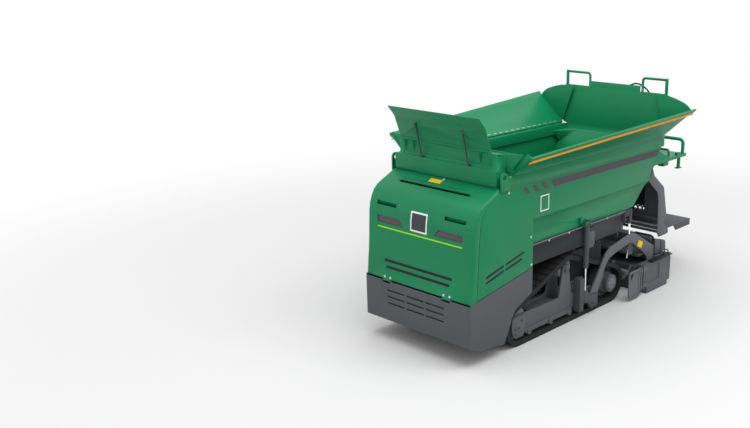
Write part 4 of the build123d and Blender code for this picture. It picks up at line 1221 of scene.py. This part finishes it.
@dataclass
class Studio:
    """The pale floor, the soft light and the camera, in metres."""
    camera_place: Point = (5.427, 4.058, 2.53)
    camera_azimuth: float = 131.6
    camera_elevation: float = 15.5
    camera_reach: float = 200.0
    lens_mm: float = 43.49
    sensor_mm: float = 36.0
    shift_x: float = -0.1333
    floor_size: float = 60.0
    floor_drop: float = 0.001
    floor_shade: float = 0.74
    floor_bounce: float = 0.56
    fade: Pair = (2.0, 6.5)
    ambient: float = 0.82
    key_power: float = 195.0
    # Each lamp's name, place, width and share of the power
    lamps: tuple[tuple[str, Point, float, float], ...] = (("overhead", (1.4, 0.2, 6.5), 6.0, 1.0),
                                                          ("side", (-0.8, 4.0, 6.0), 3.0, 0.6))
    lamp_aim: Point = (0.0, 0.0, 0.7)

    def build(self) -> None:
        """Makes camera, floor, lamps and world."""
        self.add_camera()
        self.add_floor()
        self.add_lamps()
        self.add_world()

    def add_camera(self) -> None:
        """Makes the camera at the photograph's viewing angle."""
        data = bpy.data.cameras.new("camera")
        data.lens = self.lens_mm
        data.sensor_width = self.sensor_mm
        data.shift_x = self.shift_x
        data.clip_end = self.camera_reach
        a, e = math.radians(self.camera_azimuth), math.radians(self.camera_elevation)
        back = Vector((math.sin(a) * math.cos(e), -math.cos(a) * math.cos(e), math.sin(e)))
        bpy.context.scene.camera = aim("camera", data, self.camera_place, -back)

    def add_floor(self) -> None:
        """Makes the pale floor, which keeps the machine's shadow and fades to white far away."""
        half = self.floor_size / 2
        corners = [(-half, -half, 0), (half, -half, 0), (half, half, 0), (-half, half, 0)]
        mesh = bpy.data.meshes.new("floor")
        mesh.from_pydata(corners, [], [(0, 1, 2, 3)])
        floor = bpy.data.objects.new("floor", mesh)
        floor.location.z = -self.floor_drop
        show(floor)
        mesh.materials.append(self.floor_material())

    def floor_material(self) -> Material:
        """The floor's material: matt, paler where it is seen than where it lights the machine.

        Returns:
            The node-based material.
        """
        made = bpy.data.materials.new("pale_floor")
        tree = cleared(made)
        place = add_node(tree, "ShaderNodeTexCoord").outputs["Object"]
        away = add_node(tree, "ShaderNodeVectorMath", {"operation": "LENGTH"}, Vector=place)
        fade = add_node(tree, "ShaderNodeMapRange", {"interpolation_type": "SMOOTHSTEP"},
                        Value=away.outputs["Value"], From_Min=self.fade[0], From_Max=self.fade[1])
        ray = add_node(tree, "ShaderNodeLightPath").outputs
        white = combine(tree, "MULTIPLY", fade.outputs["Result"], ray["Is Camera Ray"])
        seen = combine(tree, "MAXIMUM", ray["Is Camera Ray"], ray["Is Glossy Ray"])
        shade = add_node(tree, "ShaderNodeMapRange", Value=seen, To_Min=self.floor_bounce,
                         To_Max=self.floor_shade)
        plain = add_node(tree, "ShaderNodeBsdfDiffuse", Color=shade.outputs["Result"])
        glow = add_node(tree, "ShaderNodeEmission", Color=WHITE_LIGHT, Strength=1.0)
        mixed = add_node(tree, "ShaderNodeMixShader", Fac=white, Shader=plain.outputs["BSDF"],
                         Shader_001=glow.outputs["Emission"])
        add_node(tree, "ShaderNodeOutputMaterial", Surface=mixed.outputs["Shader"])
        return made

    def add_lamps(self) -> None:
        """Makes one large soft lamp overhead and one at the machine's left."""
        for name, place, size, share in self.lamps:
            data = bpy.data.lights.new(name, "AREA")
            data.energy = self.key_power * share
            data.size = size
            aim(name, data, place, Vector(self.lamp_aim) - Vector(place))

    def add_world(self) -> None:
        """Makes a white surround that lights the machine at a plain level."""
        world = bpy.data.worlds.new("white_surround")
        tree = cleared(world)
        ray = add_node(tree, "ShaderNodeLightPath").outputs
        seen = combine(tree, "MAXIMUM", ray["Is Camera Ray"], ray["Is Glossy Ray"])
        clear = combine(tree, "MAXIMUM", seen, ray["Is Transmission Ray"])
        level = add_node(tree, "ShaderNodeMapRange", Value=clear, To_Min=self.ambient, To_Max=1.0)
        back = add_node(tree, "ShaderNodeBackground", Color=WHITE_LIGHT, Strength=level.outputs["Result"])
        add_node(tree, "ShaderNodeOutputWorld", Surface=back.outputs["Background"])
        bpy.context.scene.world = world


def main() -> None:
    """Builds the looks in order."""
    logging.basicConfig(level=logging.INFO)
    dress_nodes()
    BrokenEdges().build()
    for assembly in (Skirt(), Hood(), Sides(), Wings(), Tracks(), Tow(), Screed(), Rear(), Studio()):
        LOG.info("assembly %s", type(assembly).__name__)
        assembly.build()
    bpy.context.scene.view_settings.view_transform = "Standard"


if __name__ == "__main__":
    main()
